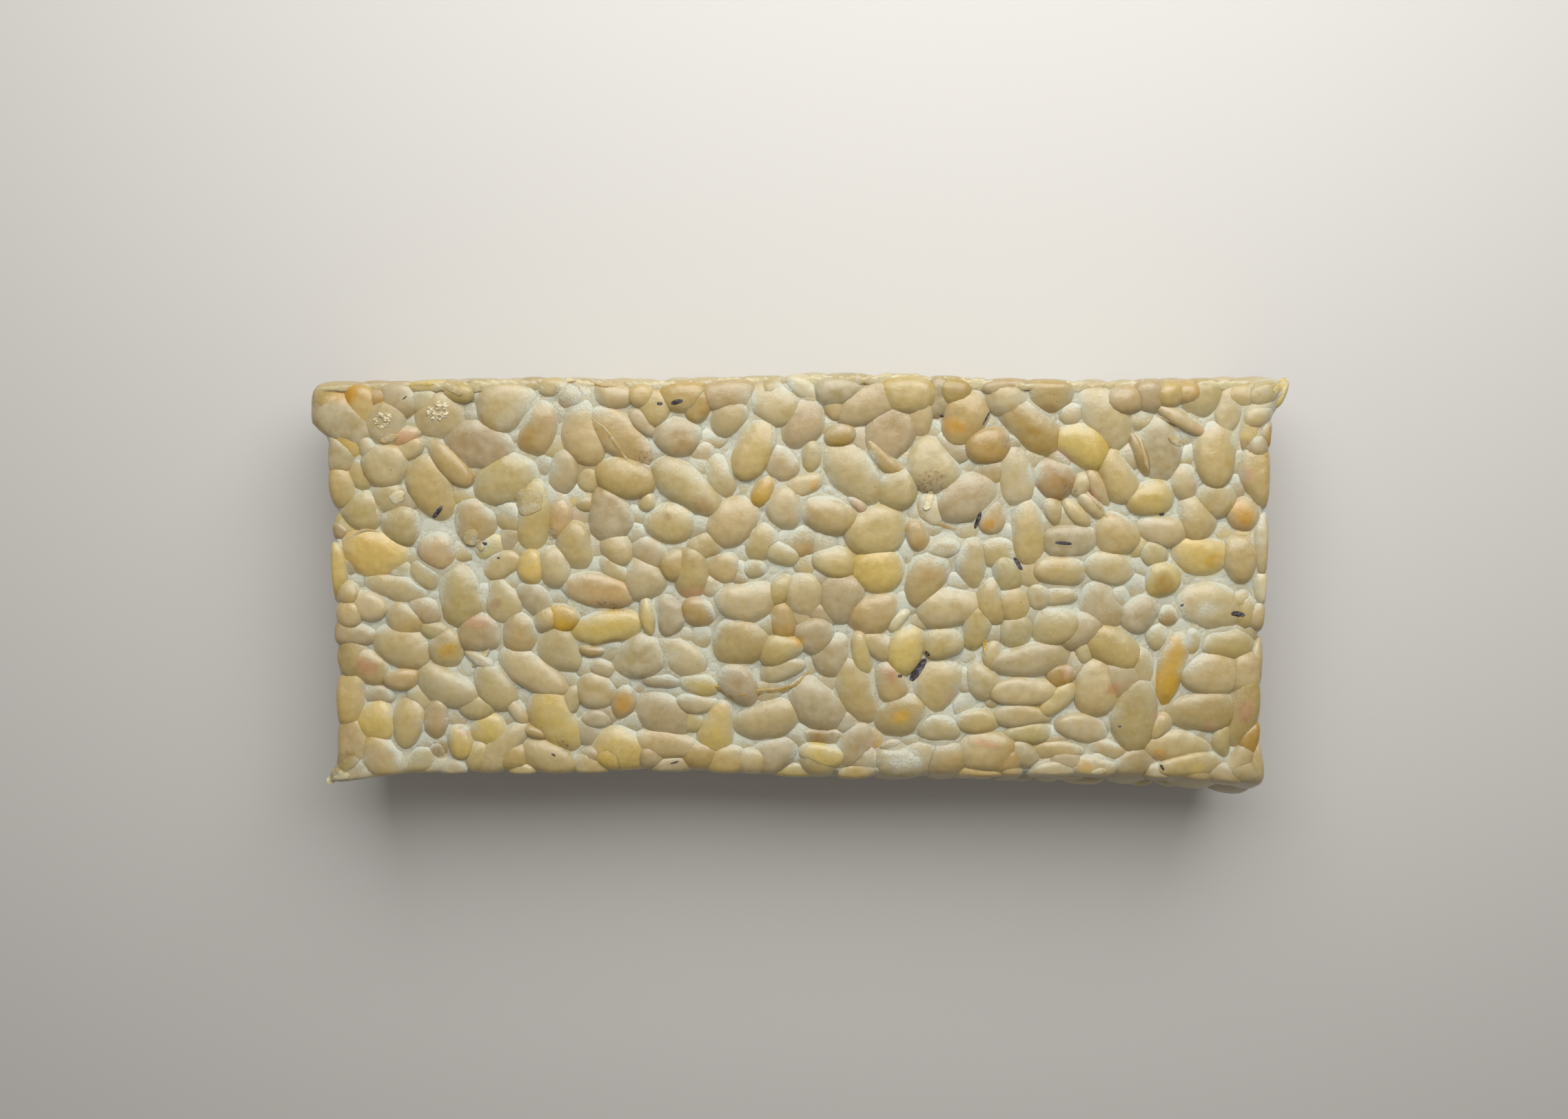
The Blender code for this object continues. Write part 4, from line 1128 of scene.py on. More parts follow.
def packed_beans(random):
    """The laid and the strewn beans, packed, with their middles in the block."""
    laid = laid_beans(random)
    strewn = strewn_beans(random, laid)
    beans = {key: np.concatenate((laid[key], strewn[key])) for key in laid}
    beans = pack(beans, len(laid["site"]))
    under = beans["normal"][:, 2] < -FACING
    beans["pressed"][under] = PRESSED_UNDER
    beans["sunk"][under] *= UNDER_SUNK_SHARE
    inward = np.where(np.arange(len(under))[:, None] < len(laid["site"]), [0.0, 0.0, 1.0], beans["normal"])
    return finished(beans, inward, random)


def filling_beans(random, depth):
    """Small beans deep in the gaps that the others leave: first where a gap is deepest, and on from there."""
    depth = softened(depth, GAP_SOFTENING)
    depth[depth < GAP_DEPTH] = 0.0
    sites = []
    while depth.any():
        deepest = depth.argmax()
        sites.append(deepest)
        depth[((SKIN - SKIN[deepest]) ** 2).sum(axis=1) < FILLER_APART**2] = 0.0
    count = len(sites)
    normal = SKIN_NORMALS[sites]
    tilted = unit(normal + random.normal(0, TILT, (count, 3)))
    beans = {
        "site": SKIN[sites],
        "normal": tilted,
        "along": square_to(random.normal(size=(count, 3)), tilted),
        "half": FILLER_HALF * varied(random, FILLER_SIZES, (count, 3)),
        "pressed": np.full(count, PRESSED),
        "sunk": random.uniform(*FILLER_SUNK, count),
        "tone": random_tones(random, count),
    }
    return finished(beans, normal, random)


def finished(beans, inward, random):
    """Adds where the beans' middles are, how uneven they are, and their colours."""
    depth = beans["pressed"] * beans["half"][:, 2] + beans["sunk"]
    count = len(depth)
    beans["centre"] = beans["site"] - inward * depth[:, None]
    beans["egg"] = random.normal(0, EGG, count)
    beans["bend"] = random.normal(0, BEND, count)
    beans["phase"] = random.uniform(0, 2 * math.pi, (count, 3))
    shade = random.normal(1, SHADE_VARIATION, (count, 1)) * random.normal(1, HUE_VARIATION, (count, 3))
    beans["colour"] = np.array([tone_colour(tone) for tone in beans["tone"]]) * shade
    return beans


# ------------------------------------------------------------------------------------- the shape of beans


def wall_reaches(beans):
    """How far each bean's middle is from the six sides of the bag, which hold it in."""
    middle = beans["centre"] - BOX_MIDDLE
    reach = np.hstack((HALF_BOX - middle, HALF_BOX + middle))
    crown = beans["pressed"] * beans["half"][:, 2]
    reach[:, 2] = np.minimum(reach[:, 2], np.where(beans["normal"][:, 2] > FACING, crown, FAR))
    return np.maximum(reach, LEAST_REACH)


def template(segments, rings):
    """Points of a unit ball whose pole faces out, more closely ringed on that half, and its faces."""
    share = np.linspace(0, 1, rings + 1)[1:-1]
    polar = math.pi * share ** RING_BIAS
    turn = 2 * math.pi * np.arange(segments) / segments
    ring = np.stack((np.cos(turn), np.sin(turn)), axis=1)
    body = [np.column_stack((math.sin(t) * ring, np.full(segments, math.cos(t)))) for t in polar]
    points = np.concatenate([[[0, 0, 1]], *body, [[0, 0, -1]]])
    start = 1 + segments * np.arange(len(polar))
    step = np.arange(segments)
    after = (step + 1) % segments
    quads = [np.stack((a + step, b + step, b + after, a + after), axis=1) for a, b in zip(start, start[1:])]
    last = len(points) - 1
    caps = [np.stack((np.zeros(segments, int), start[0] + step, start[0] + after), axis=1)]
    caps.append(np.stack((np.full(segments, last), start[-1] + after, start[-1] + step), axis=1))
    return points, np.concatenate(quads), np.concatenate(caps)


def bean_points(beans, walls, ball, chosen):
    """The chosen beans, one row of points for each."""
    some = {key: value[chosen] for key, value in beans.items()}
    half = some["half"]
    local = unit(ball[None] * half[:, None, :])
    out = np.einsum("npa,nab->npb", local, metric(some) * half[:, :, None])
    blunt = 1 + some["egg"][:, None] * local[..., 0]
    lump = 1 + LUMP * np.sin(LUMP_RATE * local + some["phase"][:, None, :]).sum(axis=2)
    ratio = local / half[:, None, :]
    size = np.sqrt((ratio**2).sum(axis=2))
    ratio[..., 1] += some["bend"][:, None] * (ratio[..., 0] ** 2 / size - BEND_MIDDLE * size)
    ratio = np.abs(ratio)
    ratio[..., 1] *= blunt
    outline = (ratio[..., :2] ** OUTLINE_POWER).sum(axis=2) ** (PROFILE_POWER / OUTLINE_POWER)
    total = ((outline + ratio[..., 2] ** PROFILE_POWER) ** (1 / PROFILE_POWER) * lump) ** WALL_POWER
    for axis, reach in zip(np.concatenate((np.eye(3), -np.eye(3))), walls[chosen].T):
        total += (np.clip(out @ axis, 0.0, None) / reach[:, None]) ** WALL_POWER
    return some["centre"][:, None] + out * total[..., None] ** (-1 / WALL_POWER)


# ---------------------------------------------------------------------------------------------- mycelium


def bean_depth(tree):
    """How far below the skin the beans lie at each point of its grid, and which face is met there."""
    depth = np.full(len(SKIN), DEEPEST)
    face = np.zeros(len(SKIN), int)
    for k, (point, normal) in enumerate(zip(SKIN, SKIN_NORMALS)):
        hit = tree.ray_cast(Vector(point + normal * DEEPEST), Vector(-normal), 2 * DEEPEST)
        if hit[0] is not None:
            depth[k] = hit[3] - DEEPEST
            face[k] = hit[2]
    return depth, face


def mycelium_level(depth):
    """How far below the skin the mycelium lies, and how white it is. It sags softly in the gaps, and where
    it is open to the air it climbs a little way up the beans before it goes in under them."""
    wave = sum(np.sin(SKIN[:, :2] @ np.array(rates) + phase) for *rates, phase in FELT_WAVES)
    level = softened(np.minimum(depth, LOWEST_FILL), SOFTENING)
    level += MYCELIUM_SUNK + FELT_WAVE_DEPTH * wave
    covered = level - depth
    is_open = softened((covered < -OPEN_LEAST).astype(float), OPEN_SOFTENING)
    is_open = smoothstep(is_open, *OPEN_SHARE)

    # The smooth minimum of the felt and the beans, and how far the felt dives under them.
    fillet = np.maximum(FILLET * is_open, MIN_FILLET)
    near = np.clip(1 - np.abs(covered) / fillet, 0.0, 1.0)
    soft = np.minimum(level, depth) - fillet / 4 * near**2
    buried = UNDER_BEANS * np.clip(covered - fillet / 2, 0.0, None) + BURIED * (1 - is_open)
    return softened(soft + buried, 1), smoothstep(-covered, -FILLET / 2, FELT_DEPTH)


# ------------------------------------------------------------------------------------------------ meshes


def merged(groups):
    """Joins groups of like shapes into one set of arrays. Each group is points, quads, triangles, values."""
    points, quads, triangles, values = [], [], [], {}
    start = 0
    for group_points, group_quads, group_triangles, group_values in groups:
        count, each = group_points.shape[:2]
        shift = start + each * np.arange(count)[:, None, None]
        points.append(group_points.reshape(-1, 3))
        quads.append((group_quads + shift).reshape(-1, 4))
        triangles.append((group_triangles + shift).reshape(-1, 3))
        for key, value in group_values.items():
            values.setdefault(key, []).append(value.reshape(-1, *value.shape[2:]))
        start += count * each
    joined_values = {key: np.concatenate(value) for key, value in values.items()}
    return np.concatenate(points), np.concatenate(quads), np.concatenate(triangles), joined_values


def mesh_piece(name, shape, material):
    """A smooth mesh piece from arrays, with its values as attributes."""
    points, quads, triangles, values = shape
    mesh = bpy.data.meshes.new(name)
    corners = np.concatenate((quads.ravel(), triangles.ravel())).astype(np.int32)
    starts = np.concatenate((4 * np.arange(len(quads)), 4 * len(quads) + 3 * np.arange(len(triangles))))
    mesh.vertices.add(len(points))
    mesh.vertices.foreach_set("co", placed(points).astype(np.float32).ravel())
    mesh.loops.add(len(corners))
    mesh.loops.foreach_set("vertex_index", corners)
    mesh.polygons.add(len(starts))
    mesh.polygons.foreach_set("loop_start", starts.astype(np.int32))
    mesh.update(calc_edges=True)
    mesh.validate()
    mesh.shade_smooth()
    for key, value in values.items():
        if value.ndim == 1:
            mesh.attributes.new(key, "FLOAT", "POINT").data.foreach_set("value", value.astype(np.float32))
        else:
            colours = np.column_stack((value, np.ones(len(value)))).astype(np.float32)
            mesh.attributes.new(key, "FLOAT_COLOR", "POINT").data.foreach_set("color", colours.ravel())
    mesh.materials.append(material)
    piece = bpy.data.objects.new(name, mesh)
    bpy.context.scene.collection.objects.link(piece)
    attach(piece, "root")
    return piece


def tree_of(points, quads, triangles):
    return BVHTree.FromPolygons(points.tolist(), quads.tolist() + triangles.tolist())


# -------------------------------------------------------------------------------------- colour of beans


def stained(colours, x, y, seen):
    """Colours of points on the top, with the marks that lie over them, and how speckled each point is."""
    speckled = np.zeros_like(x)
    for middle_x, middle_y, length, width, turn, tone in STAINS:
        turn = math.radians(turn)
        away_x = x - middle_x * MM
        away_y = y - middle_y * MM
        along = (away_x * math.cos(turn) + away_y * math.sin(turn)) / (length * MM / 2)
        across = (away_y * math.cos(turn) - away_x * math.sin(turn)) / (width * MM / 2)
        share = STAIN_STRENGTH * seen * (1 - smoothstep(along**2 + across**2, *STAIN_EDGE))
        if tone == "scar":
            speckled = np.maximum(speckled, share)
            share = SPECKLED_TINT * share
        colours = blend(colours, tone_colour(tone), share[..., None])
    return colours, speckled


def bean_values(beans, points, chosen, felt_tree, felt_open, random):
    """What the material of the chosen beans needs at each of their points: their colour, darker down the
    flanks as painted shade, the film of mycelium, whiter on the sides that face the light as painted light,
    the grey veil, where they may glint and how speckled they are."""
    count = len(chosen)
    own = beans["colour"][chosen]
    away = points - beans["centre"][chosen][:, None]
    along = (away * beans["along"][chosen][:, None]).sum(axis=2) / beans["half"][chosen][:, :1]
    end = smoothstep(along * random.choice((-1, 1), (count, 1)), *WARM_SIDE)
    end = end * random.uniform(0, WARM_MOST, (count, 1))
    out = (away * beans["normal"][chosen][:, None]).sum(axis=2)
    # Painted shade: darker and warmer down the flanks, below the crown, with the same warm colour as the warm
    # end.
    flank_shade = FLANK_SHADE_STRENGTH * smoothstep(out.max(axis=1, keepdims=True) - out, *FLANK_SHADE_DEPTH)
    colours = own[:, None] * blend(1.0, WARM_END_AND_SHADE, (end + flank_shade)[..., None])

    formed = bag_form(points.reshape(-1, 3)).reshape(points.shape)
    seen = (points[..., 2] > THICKNESS - STAIN_REACH).astype(float)
    colours, speckled = stained(colours, formed[..., 0], formed[..., 1], seen)

    backward = away[..., 1] / np.linalg.norm(away, axis=2)
    met = [felt_tree.find_nearest(Vector(point), FILM_REACH)[2:] for point in points.reshape(-1, 3)]
    film_and_painted_light = [0.0 if face is None else felt_open[face] * math.exp(-gap / FILM_DEPTH) for face, gap in met]
    # Less film on the sides that face the front, away from the light, so it is whiter on the lit sides:
    # painted light and shade.
    film_and_painted_light = np.array(film_and_painted_light).reshape(count, -1) * (1 - FILM_PAINTED_SHADE * smoothstep(-backward, *FILM_SHADE_SIDE))
    veil = np.array([VEILS.get(tone, 0.0) for tone in beans["tone"][chosen]])
    veil = np.clip(veil + random.normal(VEIL_USUAL, VEIL_VARIATION, count), 0, 1)
    veil = np.repeat(veil[:, None], points.shape[1], axis=1)
    glint = smoothstep(backward, *GLINT_SIDE) * random.uniform(0, 1, (count, 1))
    return {"tint": colours, "film_and_painted_light": film_and_painted_light, "veil": veil, "glint": glint, "speckled": speckled}


# ------------------------------------------------------------------------------ skins, scars and crumbs


def height_map(trees):
    """The height of the top at each place of a fine grid over the plain box."""
    cells = np.round(2 * HALF_BOX[:2] / HEIGHT_CELL).astype(int)
    xs, ys = (np.linspace(-HALF_BOX[k], HALF_BOX[k], cells[k] + 1) for k in (0, 1))
    high = THICKNESS + MM
    heights = np.full((len(xs), len(ys)), THICKNESS - DEEPEST)
    down = Vector((0, 0, -1))
    for i, x in enumerate(xs):
        for j, y in enumerate(ys):
            for tree in trees:
                hit = tree.ray_cast(Vector((x, y, high)), down, 2 * DEEPEST)
                if hit[0] is not None:
                    heights[i, j] = max(heights[i, j], hit[0].z)
    return heights


def heights_at(heights, x, y):
    """Heights of the top at any places, between those of the grid."""
    rows, columns = np.array(heights.shape) - 1
    u = np.clip((x / HALF_BOX[0] + 1) / 2 * rows, 0, rows - 1e-6)
    v = np.clip((y / HALF_BOX[1] + 1) / 2 * columns, 0, columns - 1e-6)
    i, j = u.astype(int), v.astype(int)
    u, v = u - i, v - j
    low = heights[i, j] * (1 - u) + heights[i + 1, j] * u
    return low * (1 - v) + (heights[i, j + 1] * (1 - u) + heights[i + 1, j + 1] * u) * v


def turned(x, y, turn):
    turn = math.radians(turn)
    return x * math.cos(turn) - y * math.sin(turn), x * math.sin(turn) + y * math.cos(turn)


def draped(ball, row, thick, heights, ragged=0.0, curl=0.0, phase=0.0):
    """A ball flattened into a patch that lies on the top: ragged at its edge and curled up at one end."""
    middle_x, middle_y, length, width, turn = row
    angle = np.arctan2(ball[:, 1], ball[:, 0])
    squared = np.abs(np.cos(angle)) ** PATCH_SQUARE + np.abs(np.sin(angle)) ** PATCH_SQUARE
    waves = sum(np.sin(n * angle + n * phase) / math.sqrt(n) for n in RAGGED_WAVES)
    edge = squared ** (-1 / PATCH_SQUARE) + ragged * waves
    x, y = turned(ball[:, 0] * edge * length * MM / 2, ball[:, 1] * edge * width * MM / 2, turn)
    site = unformed_top(np.array([middle_x * MM]), np.array([middle_y * MM]))[0]
    x, y = x + site[0], y + site[1]
    lift = curl * MM * np.clip(ball[:, 0], 0, None) ** 2
    lens = np.sign(ball[:, 2]) * np.sqrt(1 - np.hypot(ball[:, 0], ball[:, 1]) ** 2)
    z = heights_at(heights, x, y) + lift + thick * MM * (lens * PATCH_FULLNESS + PATCH_LIFT)
    return np.column_stack((x, y, z))[None]


def smooth_route(route, step):
    """Points every step along a Catmull-Rom curve through the route's points."""
    route = np.array(route, float) * MM
    padded = np.vstack((2 * route[0] - route[1], route, 2 * route[-1] - route[-2]))
    points = []
    for a, b, c, d in zip(padded, padded[1:], padded[2:], padded[3:]):
        count = max(2, int(np.linalg.norm(c - b) / step))
        for t in np.arange(count) / count:
            curved = (2 * a - 5 * b + 4 * c - d) * t**2 + (3 * b - 3 * c + d - a) * t**3
            points.append((2 * b + (c - a) * t + curved) / 2)
    points.append(route[-1])
    return np.array(points)


def tube(path, half_wide, half_high, side):
    """A closed tube of oval section along a path: its points, quads and end triangles."""
    count, around = len(path), RIBBON_SIDES
    turn = 2 * math.pi * np.arange(around) / around
    ring = np.cos(turn)[None, :, None] * (half_wide[:, None] * side)[:, None]
    ring = ring + np.sin(turn)[None, :, None] * half_high[:, None, None] * np.array([0.0, 0.0, 1.0])
    points = np.concatenate(((path[:, None] + ring).reshape(-1, 3), path[:1], path[-1:]))
    step = np.arange(around)
    after = (step + 1) % around
    starts = around * np.arange(count)
    quads = np.concatenate([np.stack((a + after, b + after, b + step, a + step), axis=1)
                            for a, b in zip(starts, starts[1:])])
    first, last = count * around, count * around + 1
    start_cap = np.stack((np.full(around, first), after, step), axis=1)
    end_cap = np.stack((np.full(around, last), starts[-1] + step, starts[-1] + after), axis=1)
    return points[None], quads, np.concatenate((start_cap, end_cap))


def ribbon(half_wide, tone, route, heights, random):
    """A loose seed coat that stands up along a route on the top."""
    path = smooth_route(route, RIBBON_STEP)
    path = unformed_top(path[:, 0], path[:, 1])
    share = np.linspace(0, 1, len(path))
    taper = np.sin(math.pi * np.clip(share, *RIBBON_ENDS)) ** RIBBON_TAPER
    wobble = 1 + RIBBON_WOBBLE * np.sin(RIBBON_WAVE * share + random.uniform(*PHASES))
    level = heights_at(heights, path[:, 0], path[:, 1])
    for _ in range(RIBBON_SMOOTHING):
        level[1:-1] = (level[:-2] + 2 * level[1:-1] + level[2:]) / 4
    path[:, 2] = level - RIBBON_SUNK * half_wide * MM
    forward = unit(np.gradient(path[:, :2], axis=0))
    side = np.column_stack((-forward[:, 1], forward[:, 0], np.full(len(path), RIBBON_LEAN)))
    wide = half_wide * MM * taper * wobble
    points, quads, triangles = tube(path, wide, RIBBON_HEIGHT * wide, side)
    return points, quads, triangles, {"tint": np.broadcast_to(tone_colour(tone), points.shape)}


def lip(random):
    """The thin ragged lip that the bag's seam leaves along the top of the back side."""
    x = np.arange(LIP_FROM, LIP_TO, LIP_STEP)
    phases = random.uniform(*PHASES, len(LIP_RATES))
    ragged = sum(np.sin(rate * x + phase) for rate, phase in zip(LIP_RATES, phases))
    wide = LIP_HALF * (1 + LIP_RAGGED * ragged)
    lift = LIP_WAVE * np.sin(LIP_RATES[0] * x)
    path = np.column_stack((x, np.full(len(x), HALF_BOX[1] - LIP_INSET), THICKNESS - LIP_DROP + lift))
    taper = np.clip(LIP_TAPER * np.sin(math.pi * np.linspace(0, 1, len(x))), LIP_END, 1.0)
    wide = taper * np.clip(wide, LIP_LEAST, None)
    points, quads, triangles = tube(path, wide, taper * LIP_THICK, LIP_SIDE)
    pale = (np.sin(LIP_RATES[1] * points[..., :1]) + 1) / 2
    return points, quads, triangles, {"tint": blend(tone_colour("cream"), tone_colour("white"), pale)}


def crumbly(points, ball):
    """A draped patch broken up into crumbs, and how pale each of its points is: paler on the crumbs' tops and
    darker down in the crevices between them, as painted shade.
    """
    apart = [sum(voronoi(Vector(point / size))[0][0] for size in CRUMB_SIZES) for point in points[0]]
    apart = np.array(apart)
    sunk = CRUMB_SINK * smoothstep(np.hypot(ball[:, 0], ball[:, 1]), *CRUMB_SINK_FROM)
    points[0, :, 2] += CRUMB_HEIGHT * (CRUMB_MIDDLE - apart) - sunk
    return points, 1 - smoothstep(apart, *CRUMB_CREVICE_SHADE)


# --------------------------------------------------------------------------------------------- materials


def feed(tree, socket, value):
    """Gives a socket a number or a colour, or links another node's output to it."""
    if isinstance(value, bpy.types.NodeSocket):
        tree.links.new(value, socket)
    else:
        socket.default_value = value


def feed_all(tree, made, **inputs):
    """Feeds a node's sockets. Each goes by its name, with _ for a space."""
    for key, value in inputs.items():
        feed(tree, made.inputs[key.replace("_", " ")], value)


def node(tree, kind, **inputs):
    made = tree.nodes.new(kind)
    feed_all(tree, made, **inputs)
    return made


def attribute(tree, name, output="Fac"):
    made = node(tree, "ShaderNodeAttribute")
    made.attribute_name = name
    return made.outputs[output]


def tint(tree):
    return attribute(tree, "tint", "Color")


def texture(tree, kind, size, **inputs):
    """A texture node whose features are about this many millimetres across."""
    place = node(tree, "ShaderNodeTexCoord").outputs["Object"]
    return node(tree, kind, Vector=place, Scale=1 / (size * MM), **inputs)


def noise(tree, size, detail):
    """Noise from 0 to 1."""
    return texture(tree, "ShaderNodeTexNoise", size, Detail=detail).outputs["Fac"]


def ranged(tree, value, low, high, to_low=0.0, to_high=1.0):
    """A value between low and high, as one between the other two."""
    made = node(tree, "ShaderNodeMapRange", Value=value, From_Min=low, From_Max=high, To_Min=to_low,
                To_Max=to_high)
    made.interpolation_type = "SMOOTHSTEP"
    return made.outputs["Result"]


def worked(tree, operation, first, second):
    made = node(tree, "ShaderNodeMath")
    made.operation = operation
    for socket, value in zip(made.inputs, (first, second)):
        feed(tree, socket, value)
    return made.outputs["Value"]


def times(tree, first, second):
    return worked(tree, "MULTIPLY", first, second)


def mixed(tree, share, first, second, mode="MIX"):
    made = node(tree, "ShaderNodeMixRGB", Fac=share, Color1=first, Color2=second)
    made.blend_type = mode
    return made.outputs["Color"]


def patches(tree, name):
    size, detail, *limits = PATCHES[name]
    return ranged(tree, noise(tree, size, detail), *limits)


def patchy(tree, name):
    """The attribute of this name, broken up by the patches of the same name."""
    return times(tree, attribute(tree, name), patches(tree, name))


def layered(tree, colour, name):
    return mixed(tree, 1.0, colour, mixed(tree, patches(tree, name), *LAYERS[name]), "MULTIPLY")


def specks(tree, apart, radius, patch, strength):
    """Where small dots lie, which keep to patches."""
    cells = texture(tree, "ShaderNodeTexVoronoi", apart).outputs["Distance"]
    dots = ranged(tree, cells, radius / apart, SPECK_EDGE * radius / apart, 1.0, 0.0)
    kept_to = ranged(tree, noise(tree, patch, 1.0), *SPECK_PATCHES)
    return times(tree, times(tree, dots, kept_to), strength)


def bumped(tree, height, distance, under=None):
    """A bump of this many millimetres, on top of another if one is given."""
    made = node(tree, "ShaderNodeBump", Height=height, Distance=distance * MM)
    if under:
        feed_all(tree, made, Normal=under)
    return made.outputs["Normal"]


def noise_bump(tree, name, under=None):
    size, detail, height = BUMPS[name]
    return bumped(tree, noise(tree, size, detail), height, under)


def seen_colour(red, green, blue):
    return (*linear((red, green, blue)), 1.0)


SPECK_BROWN = seen_colour(118, 88, 52)
VEIL_GREY = seen_colour(194, 185, 160)
GLINT_WHITE = seen_colour(228, 226, 208)
FILM_WHITE = seen_colour(195, 197, 181)
MYCELIUM_WHITE = seen_colour(200, 204, 191)
MYCELIUM_GREY = seen_colour(190, 190, 176)
MYCELIUM_BEIGE = seen_colour(178, 171, 146)
SCAR_DARK = seen_colour(56, 46, 46)
SCAR_GREY = seen_colour(112, 108, 112)


def new_material(name):
    material = bpy.data.materials.new(name)
    material.use_nodes = True
    shader = material.node_tree.nodes["Principled BSDF"]
    roughness, subsurface = SURFACES[name]
    feed_all(material.node_tree, shader, Roughness=roughness, Subsurface_Weight=subsurface,
             Subsurface_Radius=SUBSURFACE_SPREAD, Subsurface_Scale=SUBSURFACE_REACH)
    return material, material.node_tree, shader


def bean_material(name):
    """Cooked beans: smooth and moist, mottled, and dusted with mycelium where they meet it."""
    material, tree, shader = new_material(name)
    # The film, and the frost that follows it, are whiter on the sides that face the light: painted light.
    film_and_painted_light = patchy(tree, "film_and_painted_light")
    frost = ranged(tree, worked(tree, "ADD", film_and_painted_light, noise(tree, *FROST_NOISE)), *FROST_RANGE)

    colour = tint(tree)
    for layer in ("blotch", "mottle", "grain"):
        colour = layered(tree, colour, layer)
    colour = mixed(tree, specks(tree, *BEAN_SPECKS), colour, SPECK_BROWN)
    colour = mixed(tree, patchy(tree, "speckled"), colour, SPECK_BROWN)
    colour = mixed(tree, patchy(tree, "veil"), colour, VEIL_GREY)
    colour = mixed(tree, times(tree, film_and_painted_light, MILKY), colour, FILM_WHITE)
    colour = mixed(tree, frost, colour, FILM_WHITE)
    colour = mixed(tree, times(tree, patchy(tree, "glint"), GLINT_STRENGTH), colour, GLINT_WHITE)

    bare, _ = SURFACES[name]
    rough = ranged(tree, frost, 0.0, FROST_FULL, bare, FROST_ROUGHNESS)
    normal = noise_bump(tree, "mottle", noise_bump(tree, "dimples"))
    normal = bumped(tree, frost, FROST_HEIGHT, normal)
    feed_all(tree, shader, Base_Color=colour, Roughness=rough, Normal=normal, Coat_Weight=WET_WEIGHT,
             Coat_Roughness=WET_ROUGHNESS, Coat_Normal=noise_bump(tree, "wet_coat", normal))
    return material


def mycelium_material():
    """White felt: matt, fibrous and faintly grey, with a few specks of spores. It takes on the colour of the
    beans where it hardly covers them."""
    material, tree, shader = new_material("white_mycelium")
    colour = mixed(tree, patches(tree, "felt_wide"), MYCELIUM_GREY, MYCELIUM_WHITE)
    colour = mixed(tree, patches(tree, "felt_fine"), colour, MYCELIUM_BEIGE)
    colour = mixed(tree, specks(tree, *FELT_SPECKS), colour, SPECK_BROWN)
    felt = attribute(tree, "felt")
    colour = mixed(tree, ranged(tree, felt, 0.0, 1.0, FELT_LEAST, 1.0), tint(tree), colour)
    lumps = bumped(tree, times(tree, felt, noise(tree, *LUMP_NOISE)), LUMP_HEIGHT)
    feed_all(tree, shader, Base_Color=colour, Normal=noise_bump(tree, "felt", lumps),
             Sheen_Weight=SHEEN_WEIGHT, Sheen_Roughness=SHEEN_ROUGHNESS)
    return material


def coat_material():
    """Loose seed coats: thin, moist and slightly see-through, whiter where dusted."""
    material, tree, shader = new_material("loose_seed_coats")
    colour = mixed(tree, patches(tree, "coat_dust"), layered(tree, tint(tree), "coat_mottle"), FILM_WHITE)
    feed_all(tree, shader, Base_Color=colour, Normal=noise_bump(tree, "coat"))
    return material


def crumb_material():
    """The crumbly inside of a bean."""
    material, tree, shader = new_material("bean_crumb")
    feed_all(tree, shader, Base_Color=layered(tree, tint(tree), "crumb"), Normal=noise_bump(tree, "crumb"))
    return material


def scar_material():
    """The dark scars of the beans, streaked with grey."""
    material, tree, shader = new_material("dark_scars")
    colour = mixed(tree, patches(tree, "scar"), SCAR_DARK, SCAR_GREY)
    feed_all(tree, shader, Base_Color=colour, Normal=noise_bump(tree, "scar"))
    return material


# ------------------------------------------------------------------------------------------------ pieces


def bean_batch(beans, chosen, mesh):
    """The chosen beans as meshes: which they are, the faces of each, and their points."""
    ball, quads, caps = template(*mesh)
    return chosen, quads, caps, bean_points(beans, wall_reaches(beans), ball, chosen)


def batch_tree(batches):
    return tree_of(*merged([(points, quads, caps, {}) for _, quads, caps, points in batches])[:3])


def face_owners(batches):
    """Which bean each face of the batches' tree belongs to."""
    quad_owners = [np.repeat(chosen, len(quads)) for chosen, quads, _, _ in batches]
    cap_owners = [np.repeat(chosen, len(caps)) for chosen, _, caps, _ in batches]
    return np.concatenate(quad_owners + cap_owners)


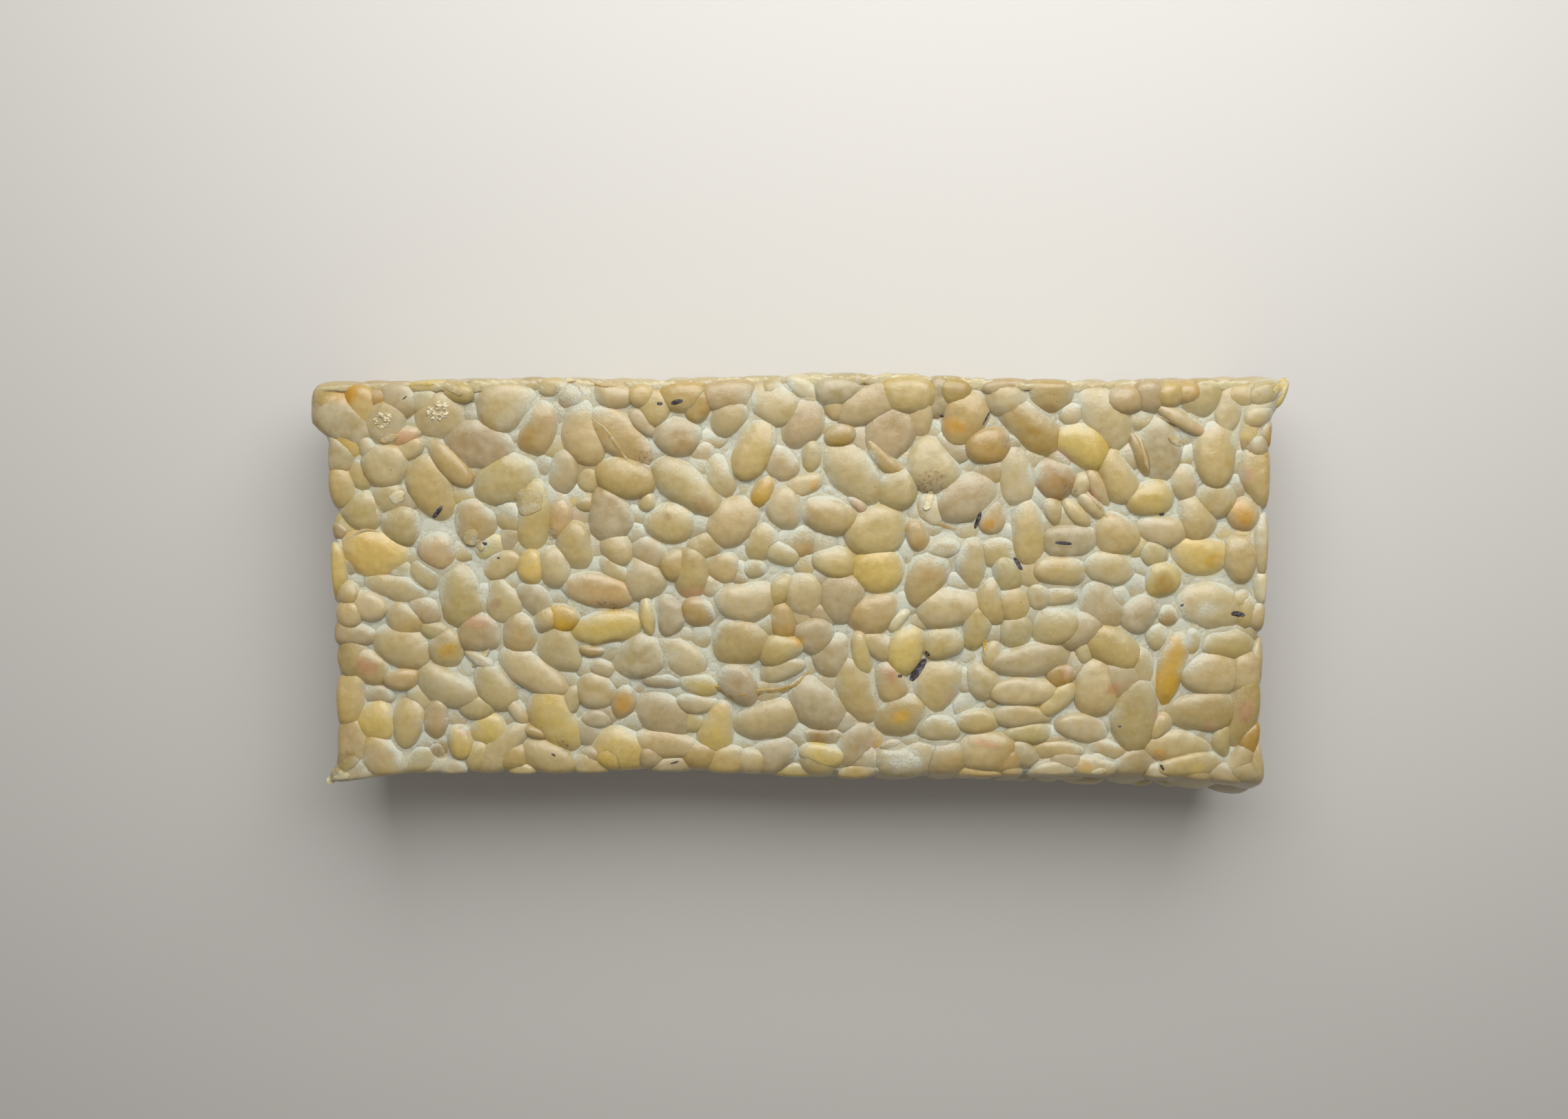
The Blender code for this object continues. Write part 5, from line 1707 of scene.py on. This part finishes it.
def bean_pieces(random):
    """Makes the beans, one piece for each kind, and the mycelium, and returns the height of the top."""
    beans = packed_beans(random)
    laid = len(TOP_BEANS) + len(FLAT_BEANS)
    count = len(beans["site"])
    batches = [bean_batch(beans, np.arange(laid), TOP_MESH)]
    batches.append(bean_batch(beans, np.arange(laid, count), SIDE_MESH))
    depth, face = bean_depth(batch_tree(batches))
    owner = face_owners(batches)[face]
    fillers = filling_beans(random, depth)
    beans = {key: np.concatenate((value, fillers[key])) for key, value in beans.items()}
    batches.append(bean_batch(beans, np.arange(count, len(beans["site"])), FILLER_MESH))

    no_triangles = np.zeros((0, 3), int)
    level, felt_share = mycelium_level(depth)
    felt = SKIN - SKIN_NORMALS * level[:, None]
    felt_values = {"tint": beans["colour"][owner], "felt": felt_share}
    mesh_piece("mycelium", (felt, SKIN_FACES, no_triangles, felt_values), mycelium_material())

    seen_felt = SKIN_FACES[felt_share[SKIN_FACES].mean(axis=1) > VISIBLE_FELT]
    film_tree = tree_of(felt, seen_felt, no_triangles)
    felt_open = softened(felt_share, FILM_SOFTENING)[seen_felt].mean(axis=1)
    felt_open = blend(FILM_LEAST, 1, smoothstep(felt_open, *FILM_OPEN))
    values = [bean_values(beans, points, chosen, film_tree, felt_open, random)
              for chosen, _, _, points in batches]
    for kind, tones in KINDS.items():
        groups = []
        for (chosen, quads, caps, points), value in zip(batches, values):
            mine = np.isin(beans["tone"][chosen], tones)
            groups.append((points[mine], quads, caps, {key: field[mine] for key, field in value.items()}))
        mesh_piece(kind, merged(groups), bean_material(kind))
    felt_tree = tree_of(felt, SKIN_FACES, no_triangles)
    return height_map((batch_tree(batches), felt_tree))


def scar_piece(heights):
    ball, quads, caps = template(*SCAR_MESH)
    shapes = [(draped(ball, row, SCAR_THICK, heights, SCAR_RAGGED, 0.0, k), quads, caps, {})
              for k, row in enumerate(HILA)]
    mesh_piece("dark_scars", merged(shapes), scar_material())


def coat_piece(heights, random):
    shapes = [ribbon(*row, heights, random) for row in RIBBONS] + [lip(random)]
    ball, quads, caps = template(*FLAKE_MESH)
    for k, (*row, curl, tone) in enumerate(FLAKES):
        points = draped(ball, row, FLAKE_THICK, heights, FLAKE_RAGGED, curl, k)
        colour = np.broadcast_to(tone_colour(tone), points.shape)
        shapes.append((points, quads, caps, {"tint": colour}))
    mesh_piece("loose_seed_coats", merged(shapes), coat_material())


def crumb_piece(heights):
    ball, quads, caps = template(*CRUMB_MESH)
    shapes = []
    for k, row in enumerate(BURST):
        points, pale = crumbly(draped(ball, row, CRUMB_THICK, heights, CRUMB_RAGGED, 0.0, k + 1), ball)
        # Beige in the crevices between the crumbs and white on their tops: painted shade.
        colour = blend(tone_colour("beige"), tone_colour("white"), pale[:, None])
        shapes.append((points, quads, caps, {"tint": colour[None]}))
    mesh_piece("bean_crumbs", merged(shapes), crumb_material())


# ----------------------------------------------------------------------------------- stage, light, camera


def stage():
    bpy.ops.mesh.primitive_plane_add(size=FLOOR_SIZE, location=(0, 0, -FLOOR_GAP))
    floor = bpy.context.object
    floor.name = "floor"
    material = bpy.data.materials.new("pale_floor")
    material.use_nodes = True
    shader = material.node_tree.nodes["Principled BSDF"]
    feed_all(material.node_tree, shader, Base_Color=FLOOR_COLOUR, Roughness=FLOOR_ROUGHNESS)
    floor.data.materials.append(material)


def area_light(name, place, size, power, colour):
    data = bpy.data.lights.new(name, "AREA")
    data.shape = "RECTANGLE"
    data.size, data.size_y = size
    data.energy = power
    data.color = colour
    light = bpy.data.objects.new(name, data)
    light.location = place
    light.rotation_euler = (-Vector(place)).to_track_quat("-Z", "Y").to_euler()
    bpy.context.scene.collection.objects.link(light)


def lights():
    for name, (place, size, power, colour) in LIGHTS.items():
        area_light(name, place, size, power, colour)
    world = bpy.data.worlds.new("room_light")
    world.use_nodes = True
    background = world.node_tree.nodes["Background"]
    background.inputs["Color"].default_value = WORLD_COLOUR
    background.inputs["Strength"].default_value = WORLD_STRENGTH
    bpy.context.scene.world = world


def camera():
    data = bpy.data.cameras.new("camera")
    data.sensor_fit = "HORIZONTAL"
    data.angle = math.radians(VIEW_ANGLE)
    distance = VIEW_WIDTH / 2 / math.tan(data.angle / 2)
    tilt = math.radians(VIEW_TILT)
    target = Vector((*(VIEW_MIDDLE - SHIFT[:2]), CAD_HIGH[2]))
    viewer = bpy.data.objects.new("camera", data)
    viewer.location = target + distance * Vector((0, math.sin(tilt), math.cos(tilt)))
    viewer.rotation_euler = (-tilt, 0, 0)
    bpy.context.scene.collection.objects.link(viewer)
    bpy.context.scene.camera = viewer


def main():
    random = np.random.default_rng(BEAN_SEED)
    heights = bean_pieces(random)
    scar_piece(heights)
    coat_piece(heights, random)
    crumb_piece(heights)
    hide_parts("tempeh_cake")
    stage()
    lights()
    camera()
    bpy.context.scene.view_settings.view_transform = "Standard"


main()
